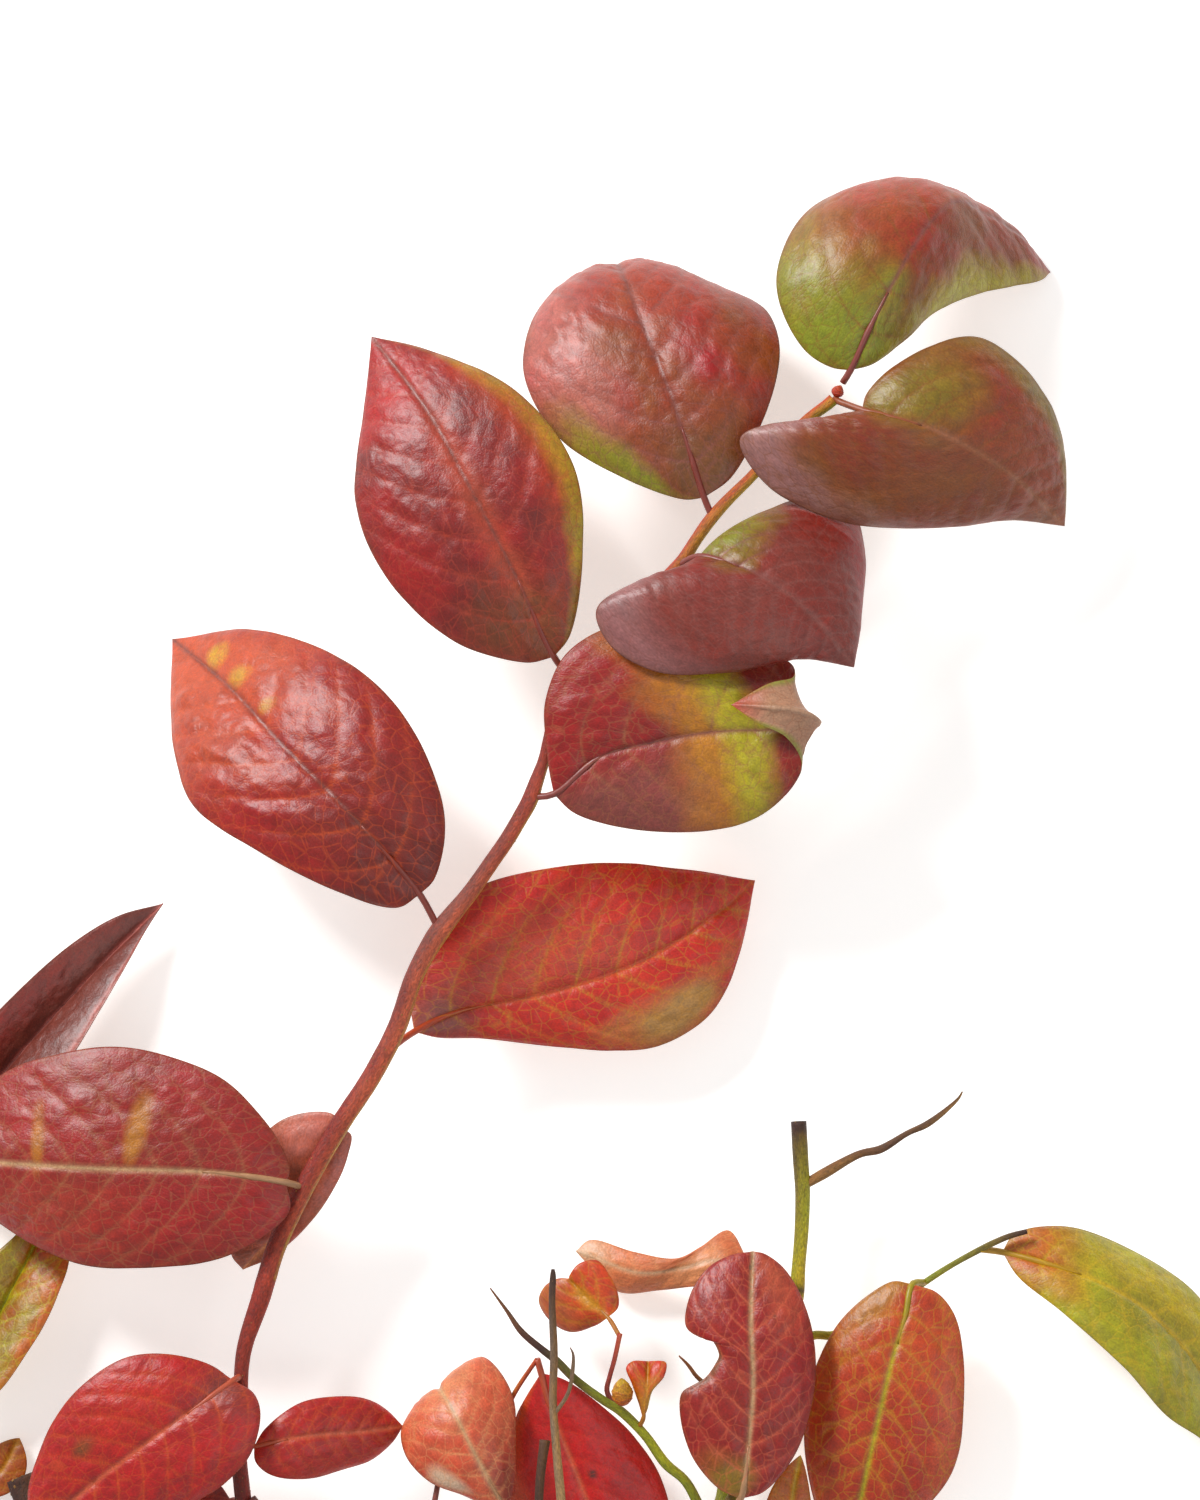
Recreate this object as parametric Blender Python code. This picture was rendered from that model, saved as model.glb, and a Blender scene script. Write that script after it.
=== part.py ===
"""A cut branch of a blueberry bush in autumn leaf, lying on a flat surface.

Every leaf, limb and bud is one closed body. Millimetres are used while the shapes are
worked out, and metres in the finished meshes. X and Y lie in the surface, Z is up.
"""
import bpy
import numpy as np

MM = 0.001
FINE = 200                  # samples on each smooth line
GAP = 0.4                   # clearance left where one piece grows from another
FLAT = 0.96                 # mean reach of an eight-sided limb, as a share of its radius
BLADE = 0.8                 # thickness of a large leaf
THIN_BLADE = 0.6            # thickness of a small leaf
STALK = 0.75                # radius of a large leaf's stalk
ACROSS = 6                  # points across one face of a leaf
ALONG = 10                  # stations along a blade
SIDES = 8                   # faces round a limb
FIRST, LAST = 0.045, 0.97   # shares of the blade at its first and last stations
SHIFT = np.array([12.903, 64.478, -0.02])   # brings the middle of the footprint to the origin

# Leaves. rib runs stalk start, blade base, then the midrib to the tip.
# left and right are the margins on each side of the way from base to tip.
LEAVES = {
    "leaf_crown": dict(
        rib=[(48.45, 73.3, 35.1), (50, 75.8, 36), (53.6, 83.8, 37.4), (59.2, 94.6, 37), (64.8, 103.8, 33),
             (71, 109.6, 25.5), (78, 107, 16), (85, 102.6, 8), (90.4, 96, 0.05)],
        left=[(46, 76.4, 36), (40.4, 80.2, 36), (35.2, 93, 34), (40, 106.2, 28), (51.4, 112.4, 20),
              (63, 112, 12), (75, 107.6, 7)],
        right=[(54.4, 77, 35.4), (59.6, 80.8, 33), (66.6, 87.2, 28), (77, 91.6, 18), (88.6, 94.4, 5)],
        crown_left=(0.06, 0.16, 0.14)),
    "leaf_dusk": dict(
        rib=[(49, 70.5, 34.5), (52.4, 67.8, 38), (57, 66.6, 40.2), (65.6, 64.2, 40.4), (73.6, 60.4, 37),
             (82.2, 55, 30), (93, 45, 15)],
        left=[(53, 70.8, 37.6), (57.4, 75.6, 37), (66, 80.8, 35), (76, 82.4, 31), (86, 75.4, 27),
              (92.2, 64, 22), (93.4, 52, 18)],
        right=[(44, 66, 39.8), (36, 65.4, 39.4), (28, 62.2, 38.5), (34, 52.4, 35), (50, 45.2, 32),
               (68, 44.6, 28), (82, 46, 22)]),
    "leaf_plum": dict(
        rib=[(17.6, 35.5, 34.8), (19.8, 38.6, 38), (29, 36, 42.5), (37, 31.6, 43), (45, 23.8, 40.5),
             (50.6, 16.6, 36)],
        left=[(24, 42.8, 37), (32, 47.4, 33.5), (42, 50, 29), (50.6, 47, 26), (52.6, 38, 28),
              (52.2, 27, 32)],
        right=[(14.4, 35.4, 39.5), (4.4, 32.2, 41.5), (-0.8, 27.8, 42), (2, 20.8, 42), (12, 15.4, 41.5),
               (26, 15.6, 40.8), (40, 18.2, 39.4)]),
    "leaf_rose": dict(
        rib=[(21.5, 46.8, 33.5), (20.8, 50.4, 33.8), (18, 59.2, 34.5), (13.8, 71.8, 33), (8, 86, 28.5),
             (4.8, 94.6, 22), (3.6, 97.2, 14), (3, 96.5, 5)],
        left=[(16.8, 50, 33), (6.6, 53.4, 32), (-7.8, 62, 29.5), (-15.2, 75, 26), (-13.8, 86, 20),
              (-8.4, 92.6, 13), (-2.5, 95.8, 7.5)],
        right=[(26.2, 54.4, 33.5), (33, 66.8, 32), (36, 79, 29), (33.8, 87.2, 22), (26, 92, 14),
               (12.6, 96, 8)],
        crown_left=(0.06, 0.08, 0.1), crown_right=(0.06, 0.1, 0.16)),
    "leaf_crimson": dict(
        rib=[(-7.5, 14.5, 33.5), (-9.2, 18.6, 35), (-16.2, 33.6, 38.5), (-24.8, 50.2, 39.5),
             (-34.2, 67.2, 35), (-45.6, 82.6, 24)],
        left=[(-14.9, 17.4, 34.5), (-30.7, 22.6, 35), (-42.8, 34.6, 35), (-48.7, 49.5, 32.5),
              (-47.2, 68.2, 28)],
        right=[(-6, 22.8, 36.5), (-3.4, 38.6, 38.5), (-5.1, 56.4, 38), (-16.4, 71.2, 34),
              (-34.7, 80.2, 28)]),
    "leaf_hooked": dict(
        rib=[(-12, -10.5, 32.5), (-9.2, -8.8, 34.4), (0, -1.4, 36.2), (11, 1.6, 37), (22.6, 3.6, 37),
             (33, 4, 37), (41, 4.4, 39), (43.9, 5.4, 42), (40.5, 7.6, 45), (33, 8.6, 45.6), (26.2, 9, 44)],
        left=[(-10.4, -2, 35.6), (-10.8, 10, 37.4), (-6.6, 19.4, 38), (3, 25, 37), (16, 25, 34),
              (28, 21.6, 33.4), (38, 17.4, 35.6), (38.6, 14.6, 40), (33.5, 13.2, 43)],
        right=[(-5, -12.6, 33.4), (6, -15.6, 33), (20, -16.2, 33), (31, -13.6, 34), (38.4, -7.4, 36),
               (40.2, -2.4, 39.8), (37, 2.6, 43.4), (31, 5.6, 44.6)],
        stations=14),
    "leaf_ember": dict(
        rib=[(-33.8, -34.5, 30), (-36, -28.8, 32), (-42, -21.4, 34.5), (-52, -10.4, 36),
             (-62.6, 0.2, 32), (-73.6, 12, 21), (-85.8, 22.2, 3)],
        left=[(-40.6, -31.5, 31.5), (-54.4, -27.6, 33), (-68.3, -20.2, 31.5), (-81.1, -11.3, 26),
              (-85.4, 0.1, 19), (-86, 11, 11)],
        right=[(-33, -25.6, 32.5), (-31, -13.8, 34.5), (-35.7, 1.1, 34.5), (-44.6, 12.9, 31),
              (-57, 20.8, 24.5), (-70, 24, 15.5)]),
    "leaf_coral": dict(
        rib=[(-40.4, -61.5, 24), (-37.2, -56.4, 22), (-29.2, -52.6, 19.5), (-13.4, -49.4, 18),
             (-0.2, -45.8, 17), (12.2, -40.4, 15), (24.8, -31.8, 12), (31, -26.2, 9)],
        left=[(-37.8, -51.3, 21), (-36, -43.4, 21.5), (-31.4, -33.5, 21), (-24.8, -27.6, 20),
              (-8, -23.4, 18), (4.8, -22.6, 16), (16, -23.8, 13)],
        right=[(-32.2, -57.6, 19), (-23.6, -57.8, 17), (-12, -59.2, 15), (2, -60.2, 13.5),
              (12, -59.2, 12.5), (22.4, -52.6, 11.5), (28, -41, 10)]),
    "leaf_garnet": dict(
        rib=[(-59.5, -87.5, 26), (-62.8, -86.4, 29.4), (-77.2, -84.4, 31), (-102.4, -83.6, 29),
             (-120, -82.6, 22), (-136, -81.6, 12)],
        left=[(-62, -91.7, 28.5), (-64.9, -95.5, 29), (-75.1, -101.4, 28.5), (-86.7, -103.2, 27),
              (-104, -102.9, 23), (-120, -94.9, 17)],
        right=[(-62, -84, 28.5), (-64.2, -78.2, 29.5), (-68.7, -72.1, 30), (-75.1, -66, 29.5),
              (-84.1, -61.9, 28.5), (-96.3, -59.4, 26.5), (-108.5, -60.9, 23.5), (-120, -65.1, 19)],
        crown_left=0.04, crown_right=0.04),
    "leaf_blush": dict(
        rib=[(-51.5, -73, 24.2), (-52.2, -75.6, 23.4), (-57, -85, 20.4), (-64, -96, 15.4),
             (-71.6, -104.2, 9)],
        left=[(-49.8, -76.9, 23), (-50.4, -80.8, 22), (-52.1, -85.3, 20.6), (-57.2, -93.6, 17),
              (-64.9, -101.3, 12.5)],
        right=[(-53.3, -72.9, 23.6), (-60.4, -72.8, 22.4), (-66, -75.6, 21), (-71.5, -84, 18.5),
              (-74.4, -94, 15), (-73.8, -101.6, 11)]),
    "leaf_scarlet": dict(
        rib=[(-71, -125, 20.5), (-73.4, -126.2, 23.4), (-80.2, -131, 26), (-91.2, -139, 25.5),
             (-104.6, -149.4, 20.5), (-113, -158, 15)],
        left=[(-69.4, -128.5, 24.4), (-67.9, -132.7, 25), (-70, -141, 24.6), (-75.1, -146.8, 23.6),
              (-80.3, -150.3, 22), (-92, -157, 18.6), (-104, -160, 16.5)],
        right=[(-77.7, -123.1, 24), (-86.7, -120.7, 25.5), (-93.1, -121, 25.5), (-98.2, -123.1, 25),
               (-104.6, -128.2, 23.5), (-109.1, -134, 21.5), (-112.6, -141.7, 19), (-114.6, -149.4, 17)]),
    "leaf_spear": dict(
        rib=[(-70.4, -139.8, 18.6), (-69.2, -139.4, 19.4), (-65.5, -138.6, 20.4), (-60.4, -137.6, 20.4),
             (-54, -137, 18.8), (-46.9, -136.5, 15.8), (-39.6, -135.6, 11.6)],
        left=[(-67.4, -136.4, 19.6), (-64.2, -133.5, 19.8), (-59.7, -130.6, 19), (-53, -129.5, 17.2),
              (-46.9, -130.1, 14.6), (-42.4, -132.6, 12.4)],
        right=[(-69, -142.3, 19), (-66.8, -144.6, 19), (-62.3, -146, 18), (-57.2, -146, 16.6),
               (-50.8, -144.1, 14.6), (-45.6, -142.3, 12.8), (-41.5, -138.8, 11.8)]),
    "leaf_violet": dict(
        rib=[(-141, -90, 9), (-138, -86, 8.5), (-126, -72, 8), (-113, -57, 7.5), (-101, -44, 7),
             (-87.7, -30.8, 6)],
        left=[(-139, -77, 10), (-133, -66, 11), (-119.9, -51.5, 12), (-107.2, -39.8, 10),
              (-97, -33.4, 8)],
        right=[(-129, -85, 12), (-117, -76, 15), (-105.2, -60.3, 14.5), (-100.3, -52.3, 13),
              (-95.5, -44, 11), (-91.3, -36.4, 8)]),
    "leaf_olive": dict(
        rib=[(-138, -142, 5), (-133, -137, 8), (-126, -124, 7.5), (-119, -110, 7), (-113, -98, 6.5), (-110, -88, 6)],
        left=[(-136, -128, 9.5), (-132, -114, 10), (-124.5, -104, 9.5), (-116.6, -96.6, 8)],
        right=[(-127, -134, 10), (-119.9, -128.1, 11.5), (-114.8, -120.8, 12), (-111.4, -115.3, 12),
               (-108.6, -109.1, 11.5), (-106.5, -102.5, 10), (-107, -94, 7.6)]),
    "leaf_wine": dict(
        rib=[(-71.6, -151, 16), (-74, -150.6, 12.6), (-79, -156, 11), (-88, -166, 11.8), (-98, -178, 11.6)],
        left=(11, 0.4, 0.5, 0.9),
        right=(12, 0.35, 0.4, 0.9)),
    "leaf_salmon": dict(
        rib=[(-17, -156, 15), (-18.8, -153, 17), (-22, -146.6, 20.5), (-25.6, -139.8, 22),
             (-29, -133, 21.5), (-31.8, -128.4, 17), (-32, -128.4, 11), (-29, -132, 6)],
        left=[(-27.6, -149.2, 18), (-34.2, -146.6, 18), (-39, -141.6, 17.5), (-40, -136.6, 15.5),
              (-37.6, -132, 12), (-34, -130, 8)],
        right=[(-17, -147, 17), (-16.8, -140, 18), (-17, -131.4, 17.5), (-19.4, -125.4, 16),
              (-23.6, -121.6, 13), (-27.6, -125, 8)]),
    "leaf_vermilion": dict(
        rib=[(-11, -122.5, 17), (-11.8, -124.8, 15.4), (-10.2, -131, 14), (-7.2, -138.8, 12), (-4, -147, 10),
             (0, -158, 6.5), (5, -175, 2)],
        left=[(-7.1, -126.2, 14.6), (-0.2, -131.1, 12.4), (7.3, -138.2, 9.6), (12.5, -146.6, 7.2),
              (14.5, -158, 4.6), (12, -168, 2.4)],
        right=[(-14.9, -129.8, 13.6), (-16.9, -133.9, 12), (-18.6, -143.7, 9), (-18.2, -150, 7),
               (-15, -160, 4.4), (-7, -170, 2.4)]),
    "leaf_heart": dict(
        rib=[(4.1, -117.4, 19.6), (1.6, -113.7, 16.6), (-3, -109.6, 15), (-6.2, -106, 14)],
        left=[(-1.2, -115.6, 13.4), (-6, -116.6, 12), (-10, -114.4, 11), (-12.2, -110.6, 11),
              (-11, -107.6, 12), (-8.4, -106, 13)],
        right=[(3.8, -111.6, 14.8), (3.6, -108.6, 15.6), (2, -105.2, 15.6), (-0.6, -102.2, 15.2),
               (-4, -102.8, 15), (-5.8, -104.8, 14.5)]),
    "leaf_peach": dict(
        rib=[(38.5, -108, 12.5), (32, -105.6, 10), (24, -102.4, 10), (16, -104, 9), (8, -105, 9),
             (0, -102.4, 8), (-4.8, -100.6, 6)],
        left=[(27, -108, 9), (20.8, -107.6, 9), (12, -108.4, 6), (4, -108.8, 5), (0, -106, 6)],
        right=[(29.6, -102.2, 9), (25.8, -96.4, 6), (20, -99.8, 8), (15.2, -102, 9), (7, -100.8, 8),
              (-2, -98.4, 6)],
        crown_left=0.02, crown_right=0.02),
    "leaf_bitten": dict(
        rib=[(26.5, -153.5, 15), (28.2, -149.8, 20), (29.8, -138.4, 22.5), (30.6, -127.6, 24), (30.2, -114.2, 24),
             (30.6, -100.4, 21)],
        left=[(24.2, -148.2, 20), (19.4, -143, 20.6), (16.4, -135, 21.4), (16.4, -128.8, 22),
              (18.6, -127.2, 22.4), (21.2, -125.6, 22.8), (23.2, -122.9, 23), (24, -121, 23),
              (22.3, -117.7, 23), (20, -117.4, 22.8), (17.2, -115.4, 22), (18, -109, 21.6),
              (21.4, -103.8, 21), (26, -101.2, 21)],
        right=[(32.6, -148.6, 20), (38.6, -141.6, 20.6), (42.4, -131, 21), (43.1, -121, 21),
               (41.4, -112.4, 21), (37.4, -104.4, 21), (33, -100.9, 21)],
        stations=22),
    "leaf_veined": dict(
        rib=[(64.5, -106.3, 14.5), (62.5, -107.1, 16), (61.2, -113.2, 17.5), (58.4, -122.8, 18),
             (55.2, -136.8, 16), (52.4, -149.6, 12), (50, -160, 7)],
        left=[(67.4, -108.7, 16), (70.8, -112.9, 15.5), (72.6, -121, 15.5), (72.8, -131, 15),
              (71.6, -142, 13), (67.4, -150, 10.5), (59, -157.5, 7.5)],
        right=[(58.8, -106.5, 15.5), (53.8, -109.2, 15.5), (48.9, -113.4, 15), (45.8, -117.8, 14.5),
              (41.8, -128, 13), (41, -140, 11), (44, -153, 8)]),
    "leaf_lime": dict(
        rib=[(77, -100.5, 14.5), (80.6, -100.6, 15), (89.8, -103, 17), (96.8, -105.2, 17.5),
             (105, -109.2, 16.5), (111.2, -113.6, 14.5), (120, -123.8, 9.5), (133, -145.5, 0.05)],
        left=[(83, -97, 15), (91.2, -95.4, 14), (100, -97.2, 11), (113.2, -103.8, 7.5),
              (120, -109.6, 6), (129, -124, 2.5)],
        right=[(83.8, -105.6, 17), (92.8, -112.8, 20), (105, -123.8, 21), (113.2, -133.2, 17),
              (120, -137.8, 12), (128, -144, 5)]),
    "leaf_amber": dict(
        rib=[(22, -170, 14), (38.4, -172, 14.6), (38, -162, 12.4), (38.6, -150, 12), (40.2, -141.4, 11)],
        left=(6, 0.5, 0.6, 0.9),
        right=(4.6, 0.5, 0.6, 0.9)),
    "leaf_scoop": dict(
        rib=[(8.2, -135.6, 20.4), (8.6, -134, 21.2), (9.1, -131, 22.4), (9.4, -127, 22.5), (9.6, -122.4, 20.5)],
        left=[(7.6, -130.8, 21.8), (6.4, -127, 22), (5.2, -123.6, 22), (6.4, -122.4, 21.5)],
        right=[(9.6, -132, 21.4), (10.6, -128, 22), (12.8, -125.4, 22.5), (13.2, -122.6, 22)]),
    "leaf_orange": dict(
        rib=[(-131, -146, 4), (-126.4, -147.6, 3.2), (-121, -145.4, 3), (-116.6, -138.2, 3)],
        left=(4.6, 0.5, 0.6, 0.9),
        right=(4.6, 0.5, 0.6, 0.9)),
    "leaf_outer": dict(
        rib=[(-142.6, -70, 10.5), (-143, -67, 11), (-146, -50, 12), (-144, -32, 8), (-139, -18, 0.05)],
        left=(13, 0.45, 0.55, 0.9),
        right=(13, 0.45, 0.55, 0.9)),
    "leaf_low": dict(
        rib=[(-48, -176, 14), (-50.6, -182, 12), (-58, -192, 10), (-72, -204, 6), (-84, -214, 0.05)],
        left=(12, 0.45, 0.55, 0.9),
        right=(12, 0.45, 0.55, 0.9)),
    "leaf_last": dict(
        rib=[(18, -168, 13), (26, -170, 10), (38, -184, 8), (52, -197, 5), (62, -208, 0.05)],
        left=(11, 0.45, 0.55, 0.9),
        right=(11, 0.45, 0.55, 0.9)),
}

# Limbs: x, y, height above the surface, radius.
LIMBS = {
    "cane": [(0, -243, 6, 6), (-2, -225, 7.5, 5.6), (-4.4, -206, 10, 5)],
    "left_arm": [(-5.2, -204, 10.6, 3.9), (-30, -190, 13, 3.6), (-54, -172, 15, 3.3), (-67, -157, 16.2, 3),
        (-71.4, -151, 16.6, 2.9)],
    "main_shoot": [(-71.6, -150.2, 16.8, 1.7), (-72.4, -140, 18.2, 1.6), (-72, -130, 19.6, 1.5),
        (-71.7, -123.3, 20.5, 1.5), (-71, -119, 21.1, 1.6), (-68, -110, 22.4, 1.95),
        (-64.6, -99, 23.8, 2), (-59.4, -88, 25.3, 2), (-55.8, -81.4, 26, 2), (-51.4, -74, 26.9, 2),
        (-46.6, -66.8, 27.6, 2), (-43.6, -61.6, 28.2, 2), (-40.4, -55, 28.9, 1.95),
        (-37.4, -46, 29.8, 1.9), (-35.2, -41.4, 30.1, 1.95), (-32.6, -37, 30.4, 2.1),
        (-29.6, -33, 30.8, 1.9), (-26, -28.6, 31.1, 1.7), (-21.4, -22, 31.7, 1.6),
        (-18.6, -18, 32, 1.6), (-16.2, -14, 32.3, 1.6), (-14, -10, 32.6, 1.7),
        (-12.6, -6, 32.8, 1.45), (-11.2, -2, 33, 1.2), (-9.4, 5, 33.1, 1.3),
        (-6.6, 11.4, 33.2, 1.35), (-1, 19, 33.3, 1.3), (7, 28, 33.4, 1.25), (13, 34.2, 33.5, 1.25),
        (16.6, 38, 33.6, 1.3), (19.2, 42, 33.7, 1.25), (22.2, 46.2, 33.8, 1.3),
        (25.6, 50, 33.9, 1.2), (29.7, 54, 34, 1.1), (32.3, 56.8, 34.1, 1.1), (41.2, 65.8, 34.2, 1.1),
        (45.6, 69.1, 34.3, 1.2), (46.6, 70, 34.4, 1.25)],
    "right_arm": [(-2.6, -203, 11, 3.6), (8, -186, 12.6, 3.2), (17, -168, 13.6, 2.8), (21, -154, 14.2, 2.3)],
    "pruned_shoot": [(25, -160, 14.2, 1.6), (27.6, -149, 15, 1.6), (31.4, -136, 15.4, 1.55),
        (35.6, -123, 15.6, 1.5), (39.2, -110, 15.6, 1.6), (39.8, -103.4, 15.6, 1.4),
        (40.4, -96, 15.6, 1.45), (40.6, -88.4, 15.8, 1.55), (40.2, -82, 16, 1.6),
        (39.8, -74.4, 16.4, 1.6)],
    "dead_spur": [(42.9, -87.4, 15.6, 0.9), (45, -84.8, 15.4, 1.1), (52, -81, 15, 0.8), (56.2, -80, 15, 0.85),
        (61.6, -76.8, 15.4, 0.6), (65.8, -74.8, 16, 0.7), (71.8, -69.8, 17, 0.3),
        (72.6, -68.4, 17.2, 0.15)],
    "green_stem": [(19, -161, 12, 1.3), (24.4, -150, 10, 1.25), (25, -142, 9.8, 1.2), (27.6, -130, 10, 1.15), (36, -120.4, 10, 1),
        (43, -117.4, 10.4, 0.9), (46.6, -117.4, 10.8, 0.9), (54, -114.6, 11.2, 0.8),
        (61, -109.6, 12.2, 0.7), (67.4, -105.2, 13, 0.65), (71.1, -102.9, 13.8, 0.6),
        (75.4, -100.5, 15.4, 0.65), (79.1, -98.6, 17.2, 0.65), (82.2, -97.3, 18, 0.6),
        (85.5, -96.4, 18.4, 0.5)],
    "green_shoot": [(20, -150.6, 14.6, 1.1), (17.2, -146.6, 16, 1), (13.2, -143, 17.4, 1.05),
        (9, -137.2, 19, 0.95), (4.2, -132.4, 20, 1), (0.4, -130, 20.4, 0.9),
        (-5.2, -125.8, 20.2, 0.85), (-8.8, -122.2, 20, 0.85), (-11.4, -120.2, 19.8, 0.75),
        (-15.8, -116.4, 19, 0.65), (-18.6, -112.4, 18, 0.4), (-22, -107.8, 17, 0.15)],
    "grey_twig": [(-1, -196, 17, 1.3), (-5, -178, 21, 1.1), (-7, -164, 24, 1), (-7.8, -150, 26, 0.95),
        (-8.8, -138.8, 26.5, 0.85), (-9.4, -130.6, 26.5, 0.8), (-9.2, -120.6, 26.5, 0.8),
        (-9.6, -110.4, 26, 0.7), (-9.4, -105, 26, 0.6), (-9.4, -103.8, 26, 0.35)],
    "brown_stub": [(-9.6, -172, 21, 0.9), (-12, -160, 23.5, 0.9), (-12.2, -150, 25, 0.9),
        (-11.8, -144, 25.6, 0.95), (-11, -138, 25.8, 1.1)],
    "grey_spur": [(-8, -132.8, 27, 0.45), (-6.4, -128.6, 27.6, 0.4), (-5.4, -123.4, 28, 0.4),
        (-5.4, -120.6, 28, 0.25), (-6, -119.4, 28, 0.1)],
    "left_stub": [(-60, -178, 9.5, 3.2), (-80, -178, 8, 3.1), (-102, -166, 7.2, 3), (-114, -152, 7, 2.9),
        (-116.6, -146, 7, 2.8)],
    "left_shoot": [(-117.5, -158, 5.5, 1.6), (-128, -153, 4.4, 1.5), (-139, -138, 3.4, 1.4),
        (-144, -116, 3, 1.3), (-145, -90, 3, 1.2), (-144, -72, 4, 1)],
    "thin_stem": [(-11, -166, 20, 0.7), (-18, -158, 15, 0.65), (-20.6, -148, 13.4, 0.6),
        (-21, -138, 13, 0.55), (-17.4, -129.4, 14.5, 0.5), (-12.6, -122, 16.5, 0.45)],
    "red_stalk": [(-35.6, -186, 16.4, 0.9), (-34.6, -160, 15, 0.7), (-32.4, -146.4, 14, 0.55)],
    "bud_stalk": [(3.9, -131.2, 20, 0.6), (1.4, -128.4, 20, 0.55), (1.9, -125.6, 20, 0.5),
        (2.8, -122.4, 20, 0.5), (3.6, -118.8, 19.8, 0.5), (4, -116.8, 19.6, 0.55)],
    "split_spur": [(22, -129, 14, 0.5), (19.6, -125.8, 14.2, 0.45), (17.6, -123.2, 14.4, 0.35),
        (15.8, -121.4, 14.6, 0.15)],
}

# What each piece grows from.
GROWS_FROM = {
    "left_arm": "cane", "right_arm": "left_arm", "main_shoot": "left_arm", "left_stub": "left_arm",
    "left_shoot": "left_stub", "pruned_shoot": "right_arm", "dead_spur": "pruned_shoot",
    "green_stem": "right_arm", "green_shoot": "right_arm", "grey_twig": "right_arm",
    "brown_stub": "grey_twig", "grey_spur": "grey_twig", "thin_stem": "brown_stub",
    "red_stalk": "left_arm", "bud_stalk": "green_shoot", "split_spur": "green_stem",
    "leaf_dusk": "main_shoot", "leaf_plum": "main_shoot",
    "leaf_rose": "main_shoot", "leaf_crimson": "main_shoot", "leaf_hooked": "main_shoot",
    "leaf_ember": "main_shoot", "leaf_coral": "main_shoot", "leaf_garnet": "main_shoot",
    "leaf_blush": "main_shoot", "leaf_scarlet": "main_shoot", "leaf_spear": "main_shoot",
    "leaf_violet": "left_shoot", "leaf_olive": "left_shoot", "leaf_wine": "main_shoot",
    "leaf_salmon": "thin_stem", "leaf_vermilion": "thin_stem", "leaf_heart": "bud_stalk",
    "leaf_peach": "pruned_shoot", "leaf_bitten": "pruned_shoot", "leaf_veined": "green_stem",
    "leaf_lime": "green_stem", "leaf_amber": "right_arm", "leaf_scoop": "green_shoot",
    "leaf_orange": "left_shoot", "leaf_outer": "left_shoot", "leaf_low": "left_arm",
    "leaf_last": "right_arm",
}

# How much nearer a tilted end is seated than its round section would allow.
CLOSER = {"left_arm": 0.7, "pruned_shoot": 0.8, "main_shoot": 0.45, "leaf_outer": 0.3,
          "left_stub": 0.5, "left_shoot": 0.2, "leaf_dusk": 0.5, "leaf_coral": 0.2}

SMALL_LEAVES = {"leaf_blush", "leaf_spear", "leaf_heart", "leaf_peach", "leaf_amber",
                "leaf_scoop", "leaf_orange", "leaf_salmon"}

COLOURS = {                 # base colours of the solids
    "red": (0.34, 0.03, 0.03), "dark": (0.16, 0.03, 0.03), "brown": (0.16, 0.07, 0.05),
    "green": (0.36, 0.36, 0.06), "orange": (0.5, 0.12, 0.04), "pink": (0.5, 0.2, 0.14),
    "bark": (0.12, 0.06, 0.04), "shoot": (0.3, 0.08, 0.06), "grey": (0.28, 0.23, 0.17),
    "yellow": (0.4, 0.33, 0.07),
}
COLOUR_OF = {
    "leaf_crown": "brown", "leaf_dusk": "brown", "leaf_plum": "brown", "leaf_rose": "dark",
    "leaf_lime": "green", "leaf_olive": "green", "leaf_violet": "brown", "leaf_peach": "pink",
    "leaf_salmon": "orange", "leaf_veined": "orange", "leaf_amber": "orange",
    "leaf_orange": "orange", "leaf_heart": "orange", "leaf_scoop": "orange",
    "main_shoot": "shoot", "thin_stem": "yellow", "pruned_shoot": "yellow",
    "green_stem": "green", "green_shoot": "green", "grey_twig": "grey", "grey_spur": "grey",
    "red_stalk": "shoot", "bud_stalk": "shoot",
}


def unit(vector):
    length = np.linalg.norm(vector, axis=-1, keepdims=True)
    return vector / np.maximum(length, 1e-12)


def smooth_path(points, count):
    """Evenly spaced points on a smooth curve through the given ones, and any extra columns."""
    points = np.array(points, float)
    chain = np.vstack([2 * points[0] - points[1], points, 2 * points[-1] - points[-2]])
    steps = np.sqrt(np.linalg.norm(np.diff(chain[:, :3], axis=0), axis=1))
    knots = np.concatenate([[0.0], np.cumsum(steps)])
    fine = []
    for i in range(1, len(chain) - 2):
        t0, t1, t2, t3 = knots[i - 1:i + 3]
        p0, p1, p2, p3 = chain[i - 1:i + 3]
        t = np.linspace(t1, t2, 24, endpoint=False)[:, None]
        a1 = (t1 - t) / (t1 - t0) * p0 + (t - t0) / (t1 - t0) * p1
        a2 = (t2 - t) / (t2 - t1) * p1 + (t - t1) / (t2 - t1) * p2
        a3 = (t3 - t) / (t3 - t2) * p2 + (t - t2) / (t3 - t2) * p3
        b1 = (t2 - t) / (t2 - t0) * a1 + (t - t0) / (t2 - t0) * a2
        b2 = (t3 - t) / (t3 - t1) * a2 + (t - t1) / (t3 - t1) * a3
        fine.append((t2 - t) / (t2 - t1) * b1 + (t - t1) / (t2 - t1) * b2)
    fine = np.vstack(fine + [points[-1:]])
    run = np.concatenate([[0.0], np.cumsum(np.linalg.norm(np.diff(fine[:, :3], axis=0), axis=1))])
    even = np.linspace(0.0, run[-1], count)
    return np.column_stack([np.interp(even, run, fine[:, k]) for k in range(points.shape[1])])


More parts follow.
